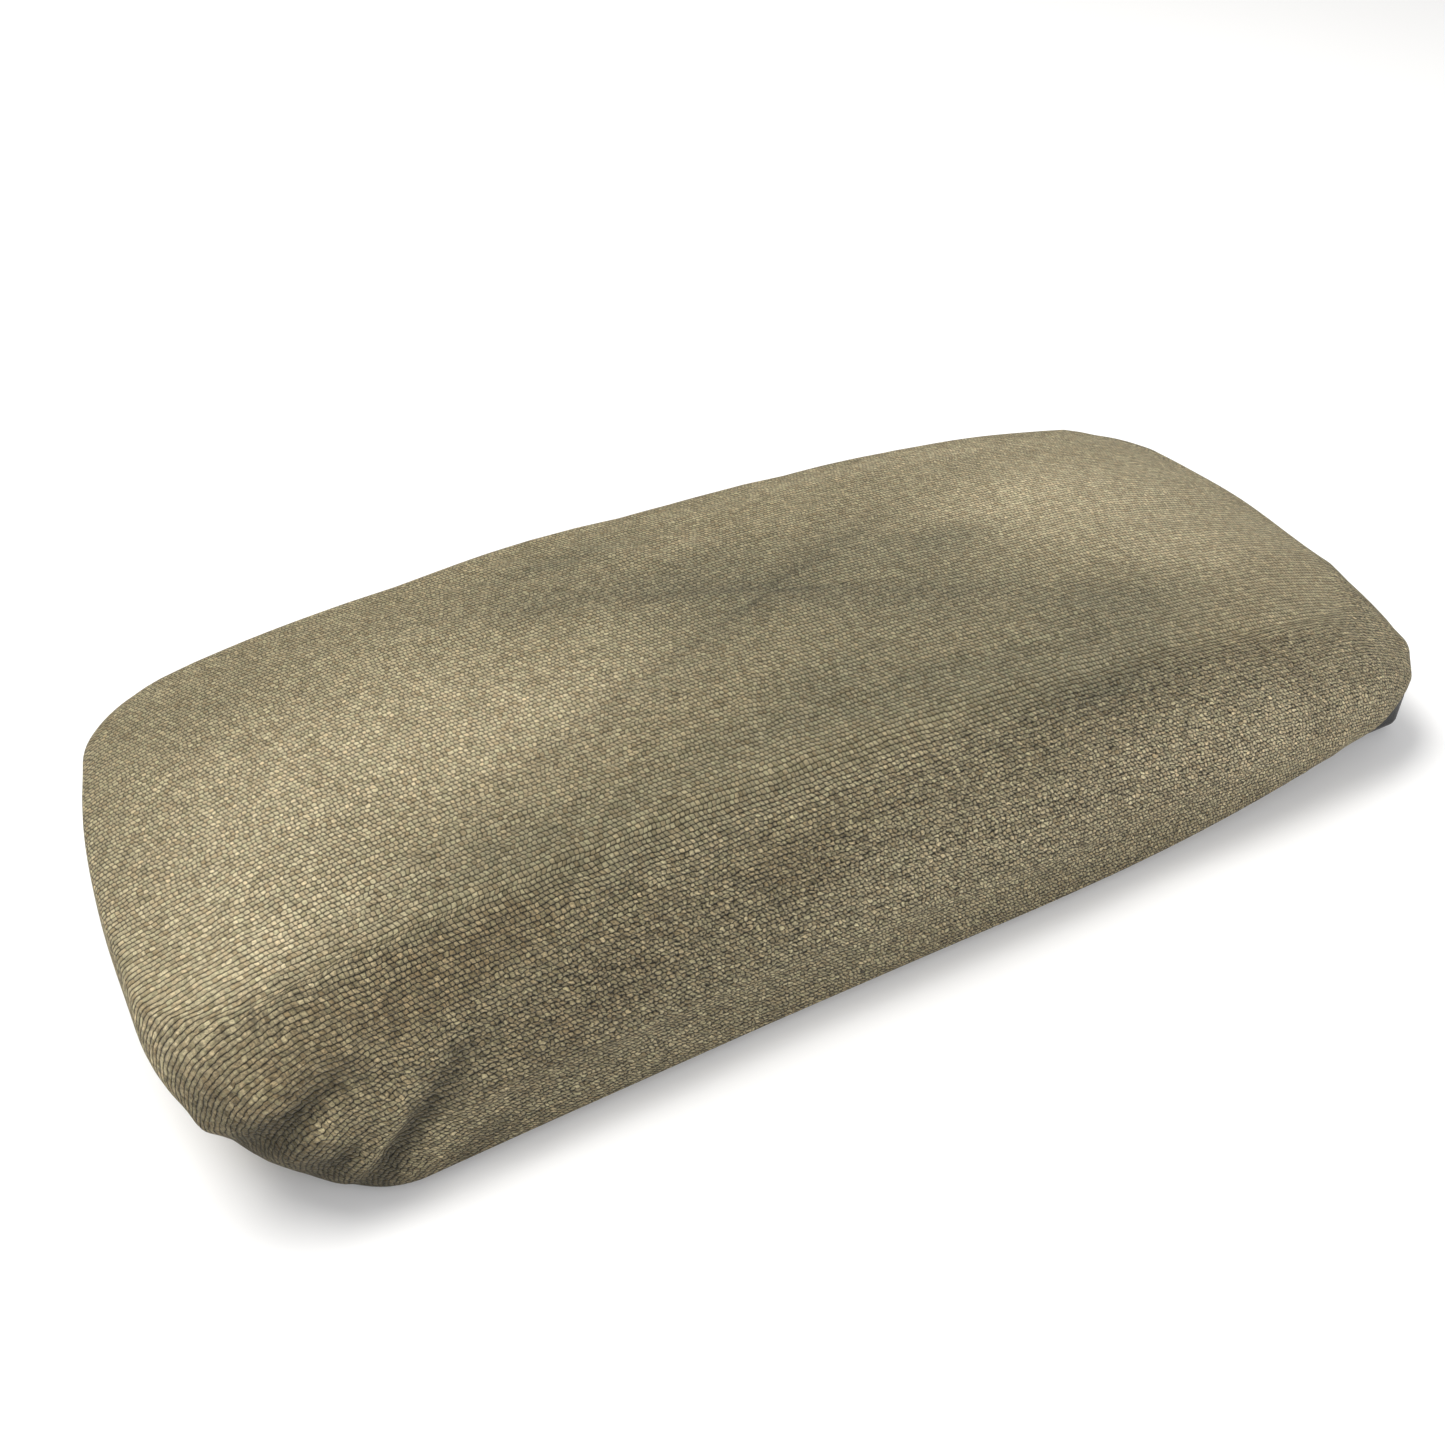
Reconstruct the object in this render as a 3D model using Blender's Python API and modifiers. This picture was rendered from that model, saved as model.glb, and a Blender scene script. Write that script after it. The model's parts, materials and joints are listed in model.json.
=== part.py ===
"""Console armrest lid: cloth over foam on a plastic pan, with a lower panel, a hinge and a latch.

Frame: +X points to the hinge end and +Z up. The origin is under the middle of the lid, on the
plane it rests on.
"""
import math

import bmesh
import bpy
from mathutils import Matrix, Vector

MM = 0.001
GAP = 0.3 * MM  # clearance between neighbouring pieces

# Cloth outline, each as the corner lines of a rounded rectangle with bowed ends.
# crease: the line round the crown; middle: pulls the walls outward; foot: the lower edge
OUTLINES = {
    "crease": dict(front=149.5 * MM, rear=138.5 * MM, half=52.3 * MM,
                   corner_front=17 * MM, corner_rear=17 * MM,
                   bow_front=5.1 * MM, bow_rear=10.6 * MM, bow_side=0.5 * MM, narrowing=0.0),
    "middle": dict(front=159 * MM, rear=163 * MM, half=73.5 * MM,
                   corner_front=26.5 * MM, corner_rear=20 * MM,
                   bow_front=2.7 * MM, bow_rear=2.7 * MM, bow_side=0.0, narrowing=0.0),
    "foot": dict(front=129.5 * MM, rear=147 * MM, half=73.5 * MM,
                 corner_front=17 * MM, corner_rear=9 * MM,
                 bow_front=2.7 * MM, bow_rear=2.7 * MM, bow_side=-2 * MM, narrowing=7.4 * MM),
}
NARROWING_START = 20 * MM  # where an outline begins to narrow towards the hinge end
CORNER_STEPS = 4
LONG_STEPS = 8
SHORT_STEPS = 8

# Crown: the height of the top at its middle, and how it falls away along and across
CROWN_HEIGHT = 57.3 * MM
CROWN_SUMMIT_X = -14.5 * MM
CROWN_FALL_ALONG = 0.516  # per metre, times the distance squared
CROWN_DROOP_ALONG = 10.3  # per metre cubed, times the distance to the fourth
CROWN_FALL_ACROSS = 1.49
MIDDLE_HEIGHT = 24 * MM
CREASE_ROUND = 5 * MM

FOOT_HEIGHT = 1.5 * MM
REAR_LIFT = 10 * MM  # the lower edge rises this much at the hinge end
REAR_LIFT_RUN = 100 * MM
FRONT_ARCH = 10 * MM  # and this much over the finger lever
FRONT_ARCH_HALF = 40 * MM

CLOTH = 1.0 * MM
PAN_INSET = 2.9 * MM  # cloth outer face to pan or foam
PAN_WALL = 2.1 * MM
PAN_TOP = 18.2 * MM
PAN_UNDER = 16.0 * MM
HEM_INSET = 7.0 * MM
HEM_FLANGE_INSET = 15 * MM
HEM_UNDER = 14.7 * MM
FOAM_UNDER = PAN_TOP + GAP
RIM_ABOVE_FOOT = 3.9 * MM  # the pan's rim stands this far above the cloth's lower edge
PAN_FAN_POINT = (4 * MM, 2.3 * MM)  # where the faces of the pan's underside meet, clear of the ribs

# Ribs under the pan
JOIN_DEPTH = 1 * MM  # how far a rib or a boss runs into the plate it stands on
RIB_HALF = 0.9 * MM
CROSS_RIB_SPOTS = [x * MM for x in (-82, 10, 92)]
CROSS_RIB_REACH = 50 * MM
CROSS_RIB_UNDER = 10.5 * MM
LONG_RIB_Y = 21.4 * MM
LONG_RIB_FRONT, LONG_RIB_REAR = -92 * MM, 119.5 * MM
LONG_RIB_UNDER = 10.0 * MM
LONG_RIB_EXTRA = 0.4 * MM

# Staples that hold the hem
STAPLE_HALF = 5 * MM
STAPLE_WIRE = 0.7 * MM
STAPLE_CROWN_UNDER = HEM_UNDER - GAP - STAPLE_WIRE
STAPLE_TIP = 17.2 * MM
STAPLE_LINE = HEM_INSET + 4.2 * MM
STAPLE_SIDE_SPOTS = [(-105 + 42 * step) * MM for step in range(6)]
STAPLE_END_SPOTS = [-34 * MM, 34 * MM]
STAPLE_SIDE_SHIFT, STAPLE_END_SHIFT = 0.4 * MM, 0.6 * MM
SLOT_HALF = STAPLE_WIRE / 2 + GAP

# Lower panel
PANEL_FRONT, PANEL_REAR, PANEL_HALF = -117.5 * MM, 153 * MM, 62.8 * MM
PANEL_CORNER = 3.5 * MM
PANEL_WALL = 2.4 * MM
PANEL_EDGE_RADIUS = 2 * MM
PANEL_BOTTOM, PANEL_TOP = FOOT_HEIGHT, 11.2 * MM
PANEL_SIDE_TOP = 4.6 * MM  # the side walls stay below the hem and rise only at the hinge end
PANEL_RISE_START, PANEL_RISE_END = 137 * MM, 146 * MM
FIELD_FRONT, FIELD_REAR, FIELD_HALF = -90 * MM, 104 * MM, 50 * MM
FIELD_UNDER = 4.0 * MM
POCKET_FRONT, POCKET_HALF = 112 * MM, 34 * MM
POCKET_UNDER = 5.5 * MM
KNUCKLE_NOTCH_FRONT = 146 * MM
STEP_UNDER = PANEL_BOTTOM + 0.8 * MM
LEVER_CLEARANCE = 1.2 * MM
LEVER_OPENING_TOP = 9 * MM

# Fasteners and feet
SHANK_RADIUS = 1.75 * MM
SHANK_HOLE = 2.05 * MM
BOSS_RADIUS = 4.5 * MM
BOSS_HOLE_TOP = 15 * MM
PANEL_BOSS_UNDER, HINGE_BOSS_UNDER = 6.7 * MM, 8.2 * MM
SCREW_TIP = 14.2 * MM
PANEL_SCREW_SPOTS = [(x, side * 42 * MM) for x in CROSS_RIB_SPOTS for side in (-1, 1)]
HINGE_SCREW_SPOTS = [(122.5 * MM, -20 * MM), (122.5 * MM, 20 * MM), (129 * MM, 0.0)]
STOP_SPOTS = [(-108 * MM, -52 * MM), (-108 * MM, 52 * MM), (132 * MM, -51 * MM), (132 * MM, 51 * MM)]
STOP_HOLE = 2.5 * MM
LATCH_SCREW_HOLE = 1.6 * MM
SMALL_STEPS = 12

# Hinge
HINGE_X, HINGE_Z = 152.5 * MM, 6.0 * MM
LEAF = 1.5 * MM
LEAF_FRONT, LEAF_REAR, LEAF_HALF = 117 * MM, 147.6 * MM, 30 * MM
LID_LEAF_UNDER = 3.7 * MM
KNUCKLE_RADIUS = 4.4 * MM
KNUCKLE_LENGTH = 12 * MM
PIN_RADIUS = 1.75 * MM
PIN_BORE = 2.05 * MM
BUSH_RADIUS = 2.75 * MM
BUSH_BORE = 3.05 * MM
BUSH_FLANGE, BUSH_FLANGE_RADIUS = 0.5 * MM, 3.6 * MM
PIN_HALF = 32.4 * MM
PIN_HEAD, PIN_HEAD_RADIUS = 1.4 * MM, 3.4 * MM
CLIP_RADIUS, CLIP_THICK, CLIP_MOUTH_HALF = 3.3 * MM, 0.8 * MM, 1.1 * MM
CONSOLE_LEAF_HOLE = 2.25 * MM
CONSOLE_STRAP = [(144 * MM, 0.0), (147.6 * MM, 0.0), (152.4 * MM, 1.9 * MM), (150.2 * MM, 3.4 * MM),
                 (146.4 * MM, 1.5 * MM), (144 * MM, 1.5 * MM)]
LID_STRAP = [(146 * MM, LID_LEAF_UNDER), (150.2 * MM, LID_LEAF_UNDER),
             (150.2 * MM, LID_LEAF_UNDER + LEAF), (146 * MM, LID_LEAF_UNDER + LEAF)]

# Latch
LATCH_X, LATCH_Z = -107 * MM, 10.6 * MM
LATCH_PIN_RADIUS = 1.5 * MM
LATCH_HOLE = 1.8 * MM
LEVER_HALF = 11 * MM
PADDLE_HALF = 18 * MM
STRIKER_REAR = -93.6 * MM  # rear edge of the opening that the console's striker comes up through
CHEEK_INNER, CHEEK_OUTER = 12.2 * MM, 13.8 * MM
CHEEK_FRONT, CHEEK_REAR, CHEEK_TOP = -111.5 * MM, -95.4 * MM, 14.6 * MM
LATCH_FOOT_REACH, LATCH_FOOT_THICK = 24 * MM, 1.6 * MM
LATCH_SCREW_SPOTS = [(-103 * MM, -19 * MM), (-103 * MM, 19 * MM)]
LEVER_SIDE = [(-127 * MM, 2.2 * MM), (-111 * MM, 2.2 * MM), (-106 * MM, 2.6 * MM), (-99.4 * MM, 2.6 * MM),
              (-99.4 * MM, 4.0 * MM), (-101.6 * MM, 5.0 * MM), (-103.6 * MM, 5.2 * MM),
              (-103.2 * MM, 9.4 * MM), (-104.4 * MM, 13.4 * MM), (-107 * MM, 14.4 * MM),
              (-109.8 * MM, 13.2 * MM), (-111 * MM, 10.2 * MM), (-112.6 * MM, 5.2 * MM),
              (-116 * MM, 4.2 * MM), (-127 * MM, 4.2 * MM)]
PADDLE_SIDE = [(-141.5 * MM, 2.9 * MM), (-140 * MM, 2.2 * MM), (-124 * MM, 2.2 * MM), (-124 * MM, 4.0 * MM),
               (-139.4 * MM, 4.0 * MM), (-141.5 * MM, 3.8 * MM)]
SPRING_BAY = ((-113.5 * MM, -4.6 * MM, 6.2 * MM), (-100 * MM, 4.6 * MM, 16 * MM))
SPRING_COIL, SPRING_WIRE, SPRING_LENGTH = 2.7 * MM, 0.4 * MM, 7.0 * MM
SPRING_TURNS = 4.25
SPRING_BACK_REACH = 9.3 * MM
SPRING_LEVER_FOOT = (-5.4 * MM, -3.4 * MM)

ROUND_STEPS = 20


# ---------------------------------------------------------------- scene and materials

def start_scene():
    for thing in list(bpy.data.objects):
        bpy.data.objects.remove(thing, do_unlink=True)
    made = []
    for name in ("console_armrest_lid", "cutters"):
        collection = bpy.data.collections.new(name)
        bpy.context.scene.collection.children.link(collection)
        made.append(collection)
    return made


PARTS, CUTTERS = start_scene()

COLOURS = {  # base colour, roughness, metallic
    "knit_cloth": ((0.36, 0.31, 0.20), 0.95, 0.0),
    "foam": ((0.74, 0.68, 0.48), 0.95, 0.0),
    "pan_plastic": ((0.06, 0.06, 0.06), 0.6, 0.0),
    "panel_plastic": ((0.012, 0.012, 0.011), 0.5, 0.0),
    "zinc_steel": ((0.55, 0.55, 0.53), 0.35, 1.0),
    "spring_steel": ((0.32, 0.32, 0.33), 0.3, 1.0),
    "stop_rubber": ((0.02, 0.02, 0.02), 0.8, 0.0),
    "bush_nylon": ((0.72, 0.70, 0.62), 0.45, 0.0),
}


def material(slot, name):
    colour, roughness, metallic = COLOURS[slot]
    made = bpy.data.materials.new(f"{slot}_{name}")
    made.use_nodes = True
    shader = made.node_tree.nodes["Principled BSDF"]
    shader.inputs["Base Color"].default_value = (*colour, 1.0)
    shader.inputs["Roughness"].default_value = roughness
    shader.inputs["Metallic"].default_value = metallic
    return made


def pivot(name, place, parent=None):
    """An empty on a joint's axis, which carries the pieces that turn with it."""
    empty = bpy.data.objects.new(name, None)
    empty.empty_display_size = 0.01
    empty.location = place
    PARTS.objects.link(empty)
    if parent:
        hang(empty, parent)
    return empty


def hang(thing, parent):
    """Parents a thing to an empty and keeps its place in the world."""
    place = Vector(parent.location)
    thing.parent = parent
    thing.matrix_parent_inverse = Matrix.Translation(place).inverted()


def finish(thing, slot, parent):
    """Gives a piece its material and its carrier, and smooths its round faces."""
    thing.data.materials.clear()
    thing.data.materials.append(material(slot, thing.name))
    thing.data.shade_smooth()
    thing.data.set_sharp_from_angle(angle=math.radians(35))
    if parent:
        hang(thing, parent)
    return thing


# ---------------------------------------------------------------- shape helpers

def put(name, mesh, collection=None):
    thing = bpy.data.objects.new(name, mesh)
    (collection or PARTS).objects.link(thing)
    return thing


def add_box(bm, low, high):
    size = Vector(high) - Vector(low)
    middle = (Vector(high) + Vector(low)) / 2
    bmesh.ops.create_cube(bm, size=1.0, matrix=Matrix.Translation(middle) @ Matrix.Diagonal((*size, 1)))


def add_rod(bm, start, axis, radius, length, steps=ROUND_STEPS):
    """A cylinder from its start point along the axis named X, Y or Z."""
    direction = {"X": Vector((1, 0, 0)), "Y": Vector((0, 1, 0)), "Z": Vector((0, 0, 1))}[axis]
    turn = Vector((0, 0, 1)).rotation_difference(direction).to_matrix().to_4x4()
    middle = Vector(start) + direction * length / 2
    bmesh.ops.create_cone(bm, cap_ends=True, segments=steps, radius1=radius, radius2=radius,
                          depth=length, matrix=Matrix.Translation(middle) @ turn)


def shapes(name, boxes=(), rods=(), collection=None):
    """One object made of separate boxes (low, high) and rods (start, axis, radius, length)."""
    bm = bmesh.new()
    for low, high in boxes:
        add_box(bm, low, high)
    for start, axis, radius, length in rods:
        add_rod(bm, start, axis, radius, length)
    mesh = bpy.data.meshes.new(name)
    bm.to_mesh(mesh)
    bm.free()
    return put(name, mesh, collection)


def tool(name, boxes=(), rods=()):
    """A shape that only cuts or joins others."""
    return as_tool(shapes(name, boxes, rods, CUTTERS))


def as_tool(thing):
    thing.hide_render = True
    thing.display_type = "WIRE"
    return thing


def combine(target, other, operation):
    step = target.modifiers.new(f"{operation.lower()}_{other.name}", "BOOLEAN")
    step.operation = operation
    step.solver = "EXACT"
    step.object = other


def cut(target, other):
    combine(target, other, "DIFFERENCE")


def join(target, other):
    combine(target, other, "UNION")


def extrusion(name, outline, near, far, holes=(), collection=None):
    """A flat (x, z) outline with round holes (x, z, radius), extruded along Y from near to far."""
    curve = bpy.data.curves.new(name, "CURVE")
    curve.dimensions = "2D"
    curve.fill_mode = "BOTH"
    curve.extrude = (far - near) / 2
    loops = [outline] + [circle(x, z, radius) for x, z, radius in holes]
    for loop in loops:
        spline = curve.splines.new("POLY")
        spline.points.add(len(loop) - 1)
        spline.use_cyclic_u = True
        for point, (x, z) in zip(spline.points, loop):
            point.co = (x, z, 0.0, 1.0)
    drawn = put(f"{name}_curve", curve)
    drawn.matrix_world = (Matrix.Translation((0, (near + far) / 2, 0))
                          @ Matrix.Rotation(math.radians(90), 4, "X"))
    bpy.context.view_layer.update()
    mesh = bpy.data.meshes.new_from_object(drawn.evaluated_get(bpy.context.evaluated_depsgraph_get()))
    bm = bmesh.new()
    bm.from_mesh(mesh)
    bmesh.ops.remove_doubles(bm, verts=bm.verts, dist=0.00001)
    bmesh.ops.recalc_face_normals(bm, faces=bm.faces)
    bm.to_mesh(mesh)
    bm.free()
    solid = put(name, mesh, collection)
    solid.matrix_world = drawn.matrix_world
    bpy.data.objects.remove(drawn, do_unlink=True)
    return solid


def circle(x, z, radius, steps=ROUND_STEPS):
    turns = [2 * math.pi * step / steps for step in range(steps)]
    return [(x + radius * math.cos(turn), z + radius * math.sin(turn)) for turn in turns]


def turned(name, profile, place, axis="Z", steps=ROUND_STEPS):
    """A profile of (radius, height) points, from the axis down the outer side, turned about its axis."""
    mesh = bpy.data.meshes.new(name)
    mesh.from_pydata([(radius, 0.0, height) for radius, height in profile],
                     [(i, i + 1) for i in range(len(profile) - 1)], [])
    thing = put(name, mesh)
    thing.location = place
    if axis == "Y":
        thing.rotation_euler = (math.radians(-90), 0, 0)
    screw = thing.modifiers.new("turn", "SCREW")
    screw.steps = screw.render_steps = steps
    screw.use_merge_vertices = True
    screw.merge_threshold = 0.00001
    return thing


def loft(name, rings, start_point=None, end_point=None, collection=None):
    """A skin over closed rings of equal length, with a fan to a point at either end where one is given."""
    count = len(rings[0])
    points = [point for ring in rings for point in ring]
    faces = []
    for row in range(len(rings) - 1):
        for i in range(count):
            j = (i + 1) % count
            faces.append((row * count + i, (row + 1) * count + i,
                          (row + 1) * count + j, row * count + j))
    if start_point:
        points.append(start_point)
        faces += [(len(points) - 1, i, (i + 1) % count) for i in range(count)]
    if end_point:
        points.append(end_point)
        last = (len(rings) - 1) * count
        faces += [(last + i, len(points) - 1, last + (i + 1) % count) for i in range(count)]
    mesh = bpy.data.meshes.new(name)
    mesh.from_pydata(points, [], faces)
    return put(name, mesh, collection)


# ---------------------------------------------------------------- the padded form

def outline(front, rear, half, corner_front, corner_rear, bow_front, bow_rear, bow_side, narrowing,
            inset=0.0):
    """Points round a rounded rectangle with bowed ends and sides, counter-clockwise from the rear."""
    front, rear, half = front - inset, rear - inset, half - inset
    round_front, round_rear = max(corner_front - inset, 2 * MM), max(corner_rear - inset, 2 * MM)
    centres = [(rear - round_rear, half - round_rear, 0, round_rear),
               (round_front - front, half - round_front, 90, round_front),
               (round_front - front, round_front - half, 180, round_front),
               (rear - round_rear, round_rear - half, 270, round_rear)]
    points = []
    for number, (x, y, turn, radius) in enumerate(centres):
        for step in range(CORNER_STEPS + 1):
            angle = math.radians(turn + 90 * step / CORNER_STEPS)
            points.append((x + radius * math.cos(angle), y + radius * math.sin(angle)))
        after = centres[(number + 1) % 4]
        start = points[-1]
        end_angle = math.radians(turn + 90)
        end_x = after[0] + after[3] * math.cos(end_angle)
        end_y = after[1] + after[3] * math.sin(end_angle)
        steps = LONG_STEPS if number % 2 == 0 else SHORT_STEPS
        for step in range(1, steps):
            share = step / steps
            points.append((start[0] + (end_x - start[0]) * share, start[1] + (end_y - start[1]) * share))
    middle_x, reach = (rear - front) / 2, (rear + front) / 2
    bowed = []
    for x, y in points:
        along, across = (x - middle_x) / reach, y / half
        bow_end = bow_rear if along > 0 else bow_front
        run = max((x - NARROWING_START) / (rear - NARROWING_START), 0.0)
        bowed.append((x + along * bow_end * (1 - across ** 2),
                      y + across * (bow_side * (1 - along ** 2) - narrowing * run ** 2)))
    return bowed


def crown(x, y, inset=0.0):
    """Height of the top of the pad."""
    away = x - CROWN_SUMMIT_X
    return (CROWN_HEIGHT - CROWN_FALL_ALONG * away ** 2 - CROWN_DROOP_ALONG * away ** 4
            - CROWN_FALL_ACROSS * y ** 2 - inset)


def foot_height(x, y):
    """Height of the cloth's lower edge: lifted at the hinge end and arched over the finger lever."""
    run = (x - (OUTLINES["foot"]["rear"] - REAR_LIFT_RUN)) / REAR_LIFT_RUN
    height = FOOT_HEIGHT + REAR_LIFT * min(max(run, 0.0), 1.0) ** 2
    if x < -110 * MM and abs(y) < FRONT_ARCH_HALF:
        height += FRONT_ARCH * math.cos(math.pi / 2 * y / FRONT_ARCH_HALF)
    return height


def walls(inset):
    """For each place round the pad, its crease, middle and foot points: the guides of a curved wall."""
    rings = [outline(**OUTLINES[name], inset=inset) for name in ("crease", "middle", "foot")]
    edge = outline(**OUTLINES["foot"])
    guides = []
    for crease, middle, foot, outer in zip(*rings, edge):
        guides.append(((*crease, crown(*crease, inset)), (*middle, MIDDLE_HEIGHT),
                       (*foot, foot_height(*outer))))
    return guides


def wall_point(guide, share):
    """The point on a wall's curve at a share from the crease (0) to the foot (1)."""
    weights = ((1 - share) ** 2, 2 * share * (1 - share), share ** 2)
    return tuple(sum(weight * point[axis] for weight, point in zip(weights, guide)) for axis in range(3))


def wall_ring(inset, share):
    return [wall_point(guide, share) for guide in walls(inset)]


def share_at(guide, height):
    """Where a wall's curve passes a height."""
    top, middle, foot = (point[2] for point in guide)
    drop = top - height
    slope = 2 * (top - middle)
    bend = top - 2 * middle + foot
    return min(2 * drop / (slope + math.sqrt(max(slope ** 2 - 4 * bend * drop, 0.0))), 1.0)


def level_ring(inset, height, above_foot=None):
    """A ring round the wall at one height, or at a distance above the lower edge."""
    ring = []
    for guide in walls(inset):
        level = height if above_foot is None else guide[2][2] + above_foot
        x, y, _ = wall_point(guide, share_at(guide, level))
        ring.append((x, y, level))
    return ring


def crown_rings(inset):
    """Rings over the top from near the middle out to the rounded crease."""
    edge = outline(**OUTLINES["crease"], inset=inset + CREASE_ROUND)
    rings = []
    for scale in (0.3, 0.58, 0.82, 1.0):
        rings.append([(x * scale, y * scale, crown(x * scale, y * scale, inset)) for x, y in edge])
    return rings


def flat_ring(inset, height, fit_height):
    """The wall's ring at fit_height, laid at another height."""
    return [(x, y, height) for x, y, _ in level_ring(inset, fit_height)]


def make_cover(parent):
    """Cloth: crown, crease and walls, then the hem turned under the pan's rim and along its underside."""
    rings = crown_rings(0.0)
    rings += [wall_ring(0.0, share) for share in (0.08, 0.24, 0.44, 0.66, 0.85, 0.97)]
    rings.append(level_ring(0.8 * MM, 0, above_foot=0.0))
    rings.append(level_ring(HEM_INSET - 1.2 * MM, 0, above_foot=0.0))
    rings.append(level_ring(HEM_INSET, 0, above_foot=1.4 * MM))
    rings.append(level_ring(HEM_INSET, HEM_UNDER))
    rings.append(flat_ring(HEM_FLANGE_INSET, HEM_UNDER, HEM_UNDER))
    cover = loft("fabric_cover", rings, start_point=(0.0, 0.0, crown(0.0, 0.0)))
    skin = cover.modifiers.new("cloth_thickness", "SOLIDIFY")
    skin.thickness = CLOTH
    skin.offset = -1.0
    cut(cover, STAPLE_SLOTS)
    return finish(cover, "knit_cloth", parent)


def make_foam(parent):
    rings = crown_rings(PAN_INSET)
    rings += [wall_ring(PAN_INSET, share) for share in (0.08, 0.24)]
    rings.append(level_ring(PAN_INSET, 27 * MM))
    rings.append(level_ring(PAN_INSET, FOAM_UNDER))
    foam = loft("foam_pad", rings, start_point=(0.0, 0.0, crown(0.0, 0.0, PAN_INSET)),
                end_point=(0.0, 0.0, FOAM_UNDER))
    return finish(foam, "foam", parent)


def make_pan(parent):
    """The foam's carrier: an inverted dish with a rim, screw bosses and ribs."""
    inner = PAN_INSET + PAN_WALL
    rings = [level_ring(PAN_INSET, PAN_TOP), level_ring(PAN_INSET, PAN_UNDER),
             level_ring(PAN_INSET, 0, above_foot=RIM_ABOVE_FOOT),
             level_ring(inner, 0, above_foot=RIM_ABOVE_FOOT), level_ring(inner, PAN_UNDER)]
    pan = loft("pad_pan", rings, start_point=(0.0, 0.0, PAN_TOP), end_point=(*PAN_FAN_POINT, PAN_UNDER))
    joined_top = PAN_UNDER + JOIN_DEPTH
    bosses = []
    for spots, under in ((PANEL_SCREW_SPOTS, PANEL_BOSS_UNDER), (HINGE_SCREW_SPOTS, HINGE_BOSS_UNDER)):
        bosses += [((x, y, under), "Z", BOSS_RADIUS, joined_top - under) for x, y in spots]
    join(pan, tool("pan_bosses", rods=bosses))
    cross_ribs = [((x - RIB_HALF, -CROSS_RIB_REACH, CROSS_RIB_UNDER),
                   (x + RIB_HALF, CROSS_RIB_REACH, joined_top)) for x in CROSS_RIB_SPOTS]
    join(pan, tool("pan_cross_ribs", boxes=cross_ribs))
    long_ribs = [((LONG_RIB_FRONT, y - RIB_HALF, LONG_RIB_UNDER),
                  (LONG_RIB_REAR, y + RIB_HALF, joined_top + LONG_RIB_EXTRA))
                 for y in (-LONG_RIB_Y, LONG_RIB_Y)]
    join(pan, tool("pan_long_ribs", boxes=long_ribs))
    hole_start = PANEL_BOSS_UNDER - JOIN_DEPTH
    holes = [((x, y, hole_start), "Z", SHANK_HOLE, BOSS_HOLE_TOP - hole_start)
             for x, y in PANEL_SCREW_SPOTS + HINGE_SCREW_SPOTS]
    cut(pan, tool("pan_pilot_holes", rods=holes))
    cut(pan, STAPLE_SLOTS)
    return finish(pan, "pan_plastic", parent)


# ---------------------------------------------------------------- staples

def staple_spots():
    """Places round the hem, and whether the staple there lies along X."""
    ring = level_ring(STAPLE_LINE, HEM_UNDER)
    side = max(y for _, y, _ in ring) - STAPLE_SIDE_SHIFT
    front = min(x for x, _, _ in ring) + STAPLE_END_SHIFT
    rear = max(x for x, _, _ in ring) - STAPLE_END_SHIFT
    spots = [(x, y, True) for y in (-side, side) for x in STAPLE_SIDE_SPOTS]
    spots += [(x, y, False) for x in (front, rear) for y in STAPLE_END_SPOTS]
    return spots


def spread(x, y, along_x, reach, thick, low, high):
    """A box at a staple's place: reach along the staple, thick across it."""
    half_x, half_y = (reach, thick) if along_x else (thick, reach)
    return (x - half_x, y - half_y, low), (x + half_x, y + half_y, high)


def leg_boxes(x, y, along_x, half, low, high):
    """Square boxes at a staple's two legs."""
    reach = STAPLE_HALF - STAPLE_WIRE / 2
    boxes = []
    for side in (-1, 1):
        leg_x, leg_y = (x + side * reach, y) if along_x else (x, y + side * reach)
        boxes.append(spread(leg_x, leg_y, True, half, half, low, high))
    return boxes


def staple_slots():
    boxes = []
    for x, y, along_x in staple_spots():
        boxes += leg_boxes(x, y, along_x, SLOT_HALF, HEM_UNDER - CLOTH, STAPLE_TIP + GAP)
    return tool("staple_slots", boxes=boxes)


def make_staples(parent):
    for number, (x, y, along_x) in enumerate(staple_spots(), start=1):
        half_wire = STAPLE_WIRE / 2
        crown_top = STAPLE_CROWN_UNDER + STAPLE_WIRE
        outer, inner = STAPLE_HALF, STAPLE_HALF - STAPLE_WIRE
        bent = [(-outer, STAPLE_CROWN_UNDER), (outer, STAPLE_CROWN_UNDER), (outer, STAPLE_TIP),
                (inner, STAPLE_TIP), (inner, crown_top), (-inner, crown_top), (-inner, STAPLE_TIP),
                (-outer, STAPLE_TIP)]
        staple = extrusion(f"hem_staple_{number:02d}", bent, -half_wire, half_wire)
        turn = Matrix.Identity(4) if along_x else Matrix.Rotation(math.radians(90), 4, "Z")
        staple.matrix_world = Matrix.Translation((x, y, 0)) @ turn @ staple.matrix_world
        finish(staple, "zinc_steel", parent)


# ---------------------------------------------------------------- lower panel, screws and feet

def rounded_plan(front, rear, half, corner):
    """A plain rounded rectangle seen from above."""
    points = []
    for x, y, turn in ((rear - corner, half - corner, 0), (front + corner, half - corner, 90),
                       (front + corner, corner - half, 180), (rear - corner, corner - half, 270)):
        for step in range(CORNER_STEPS + 3):
            angle = math.radians(turn + 90 * step / (CORNER_STEPS + 2))
            points.append((x + corner * math.cos(angle), y + corner * math.sin(angle)))
    return points


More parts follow.
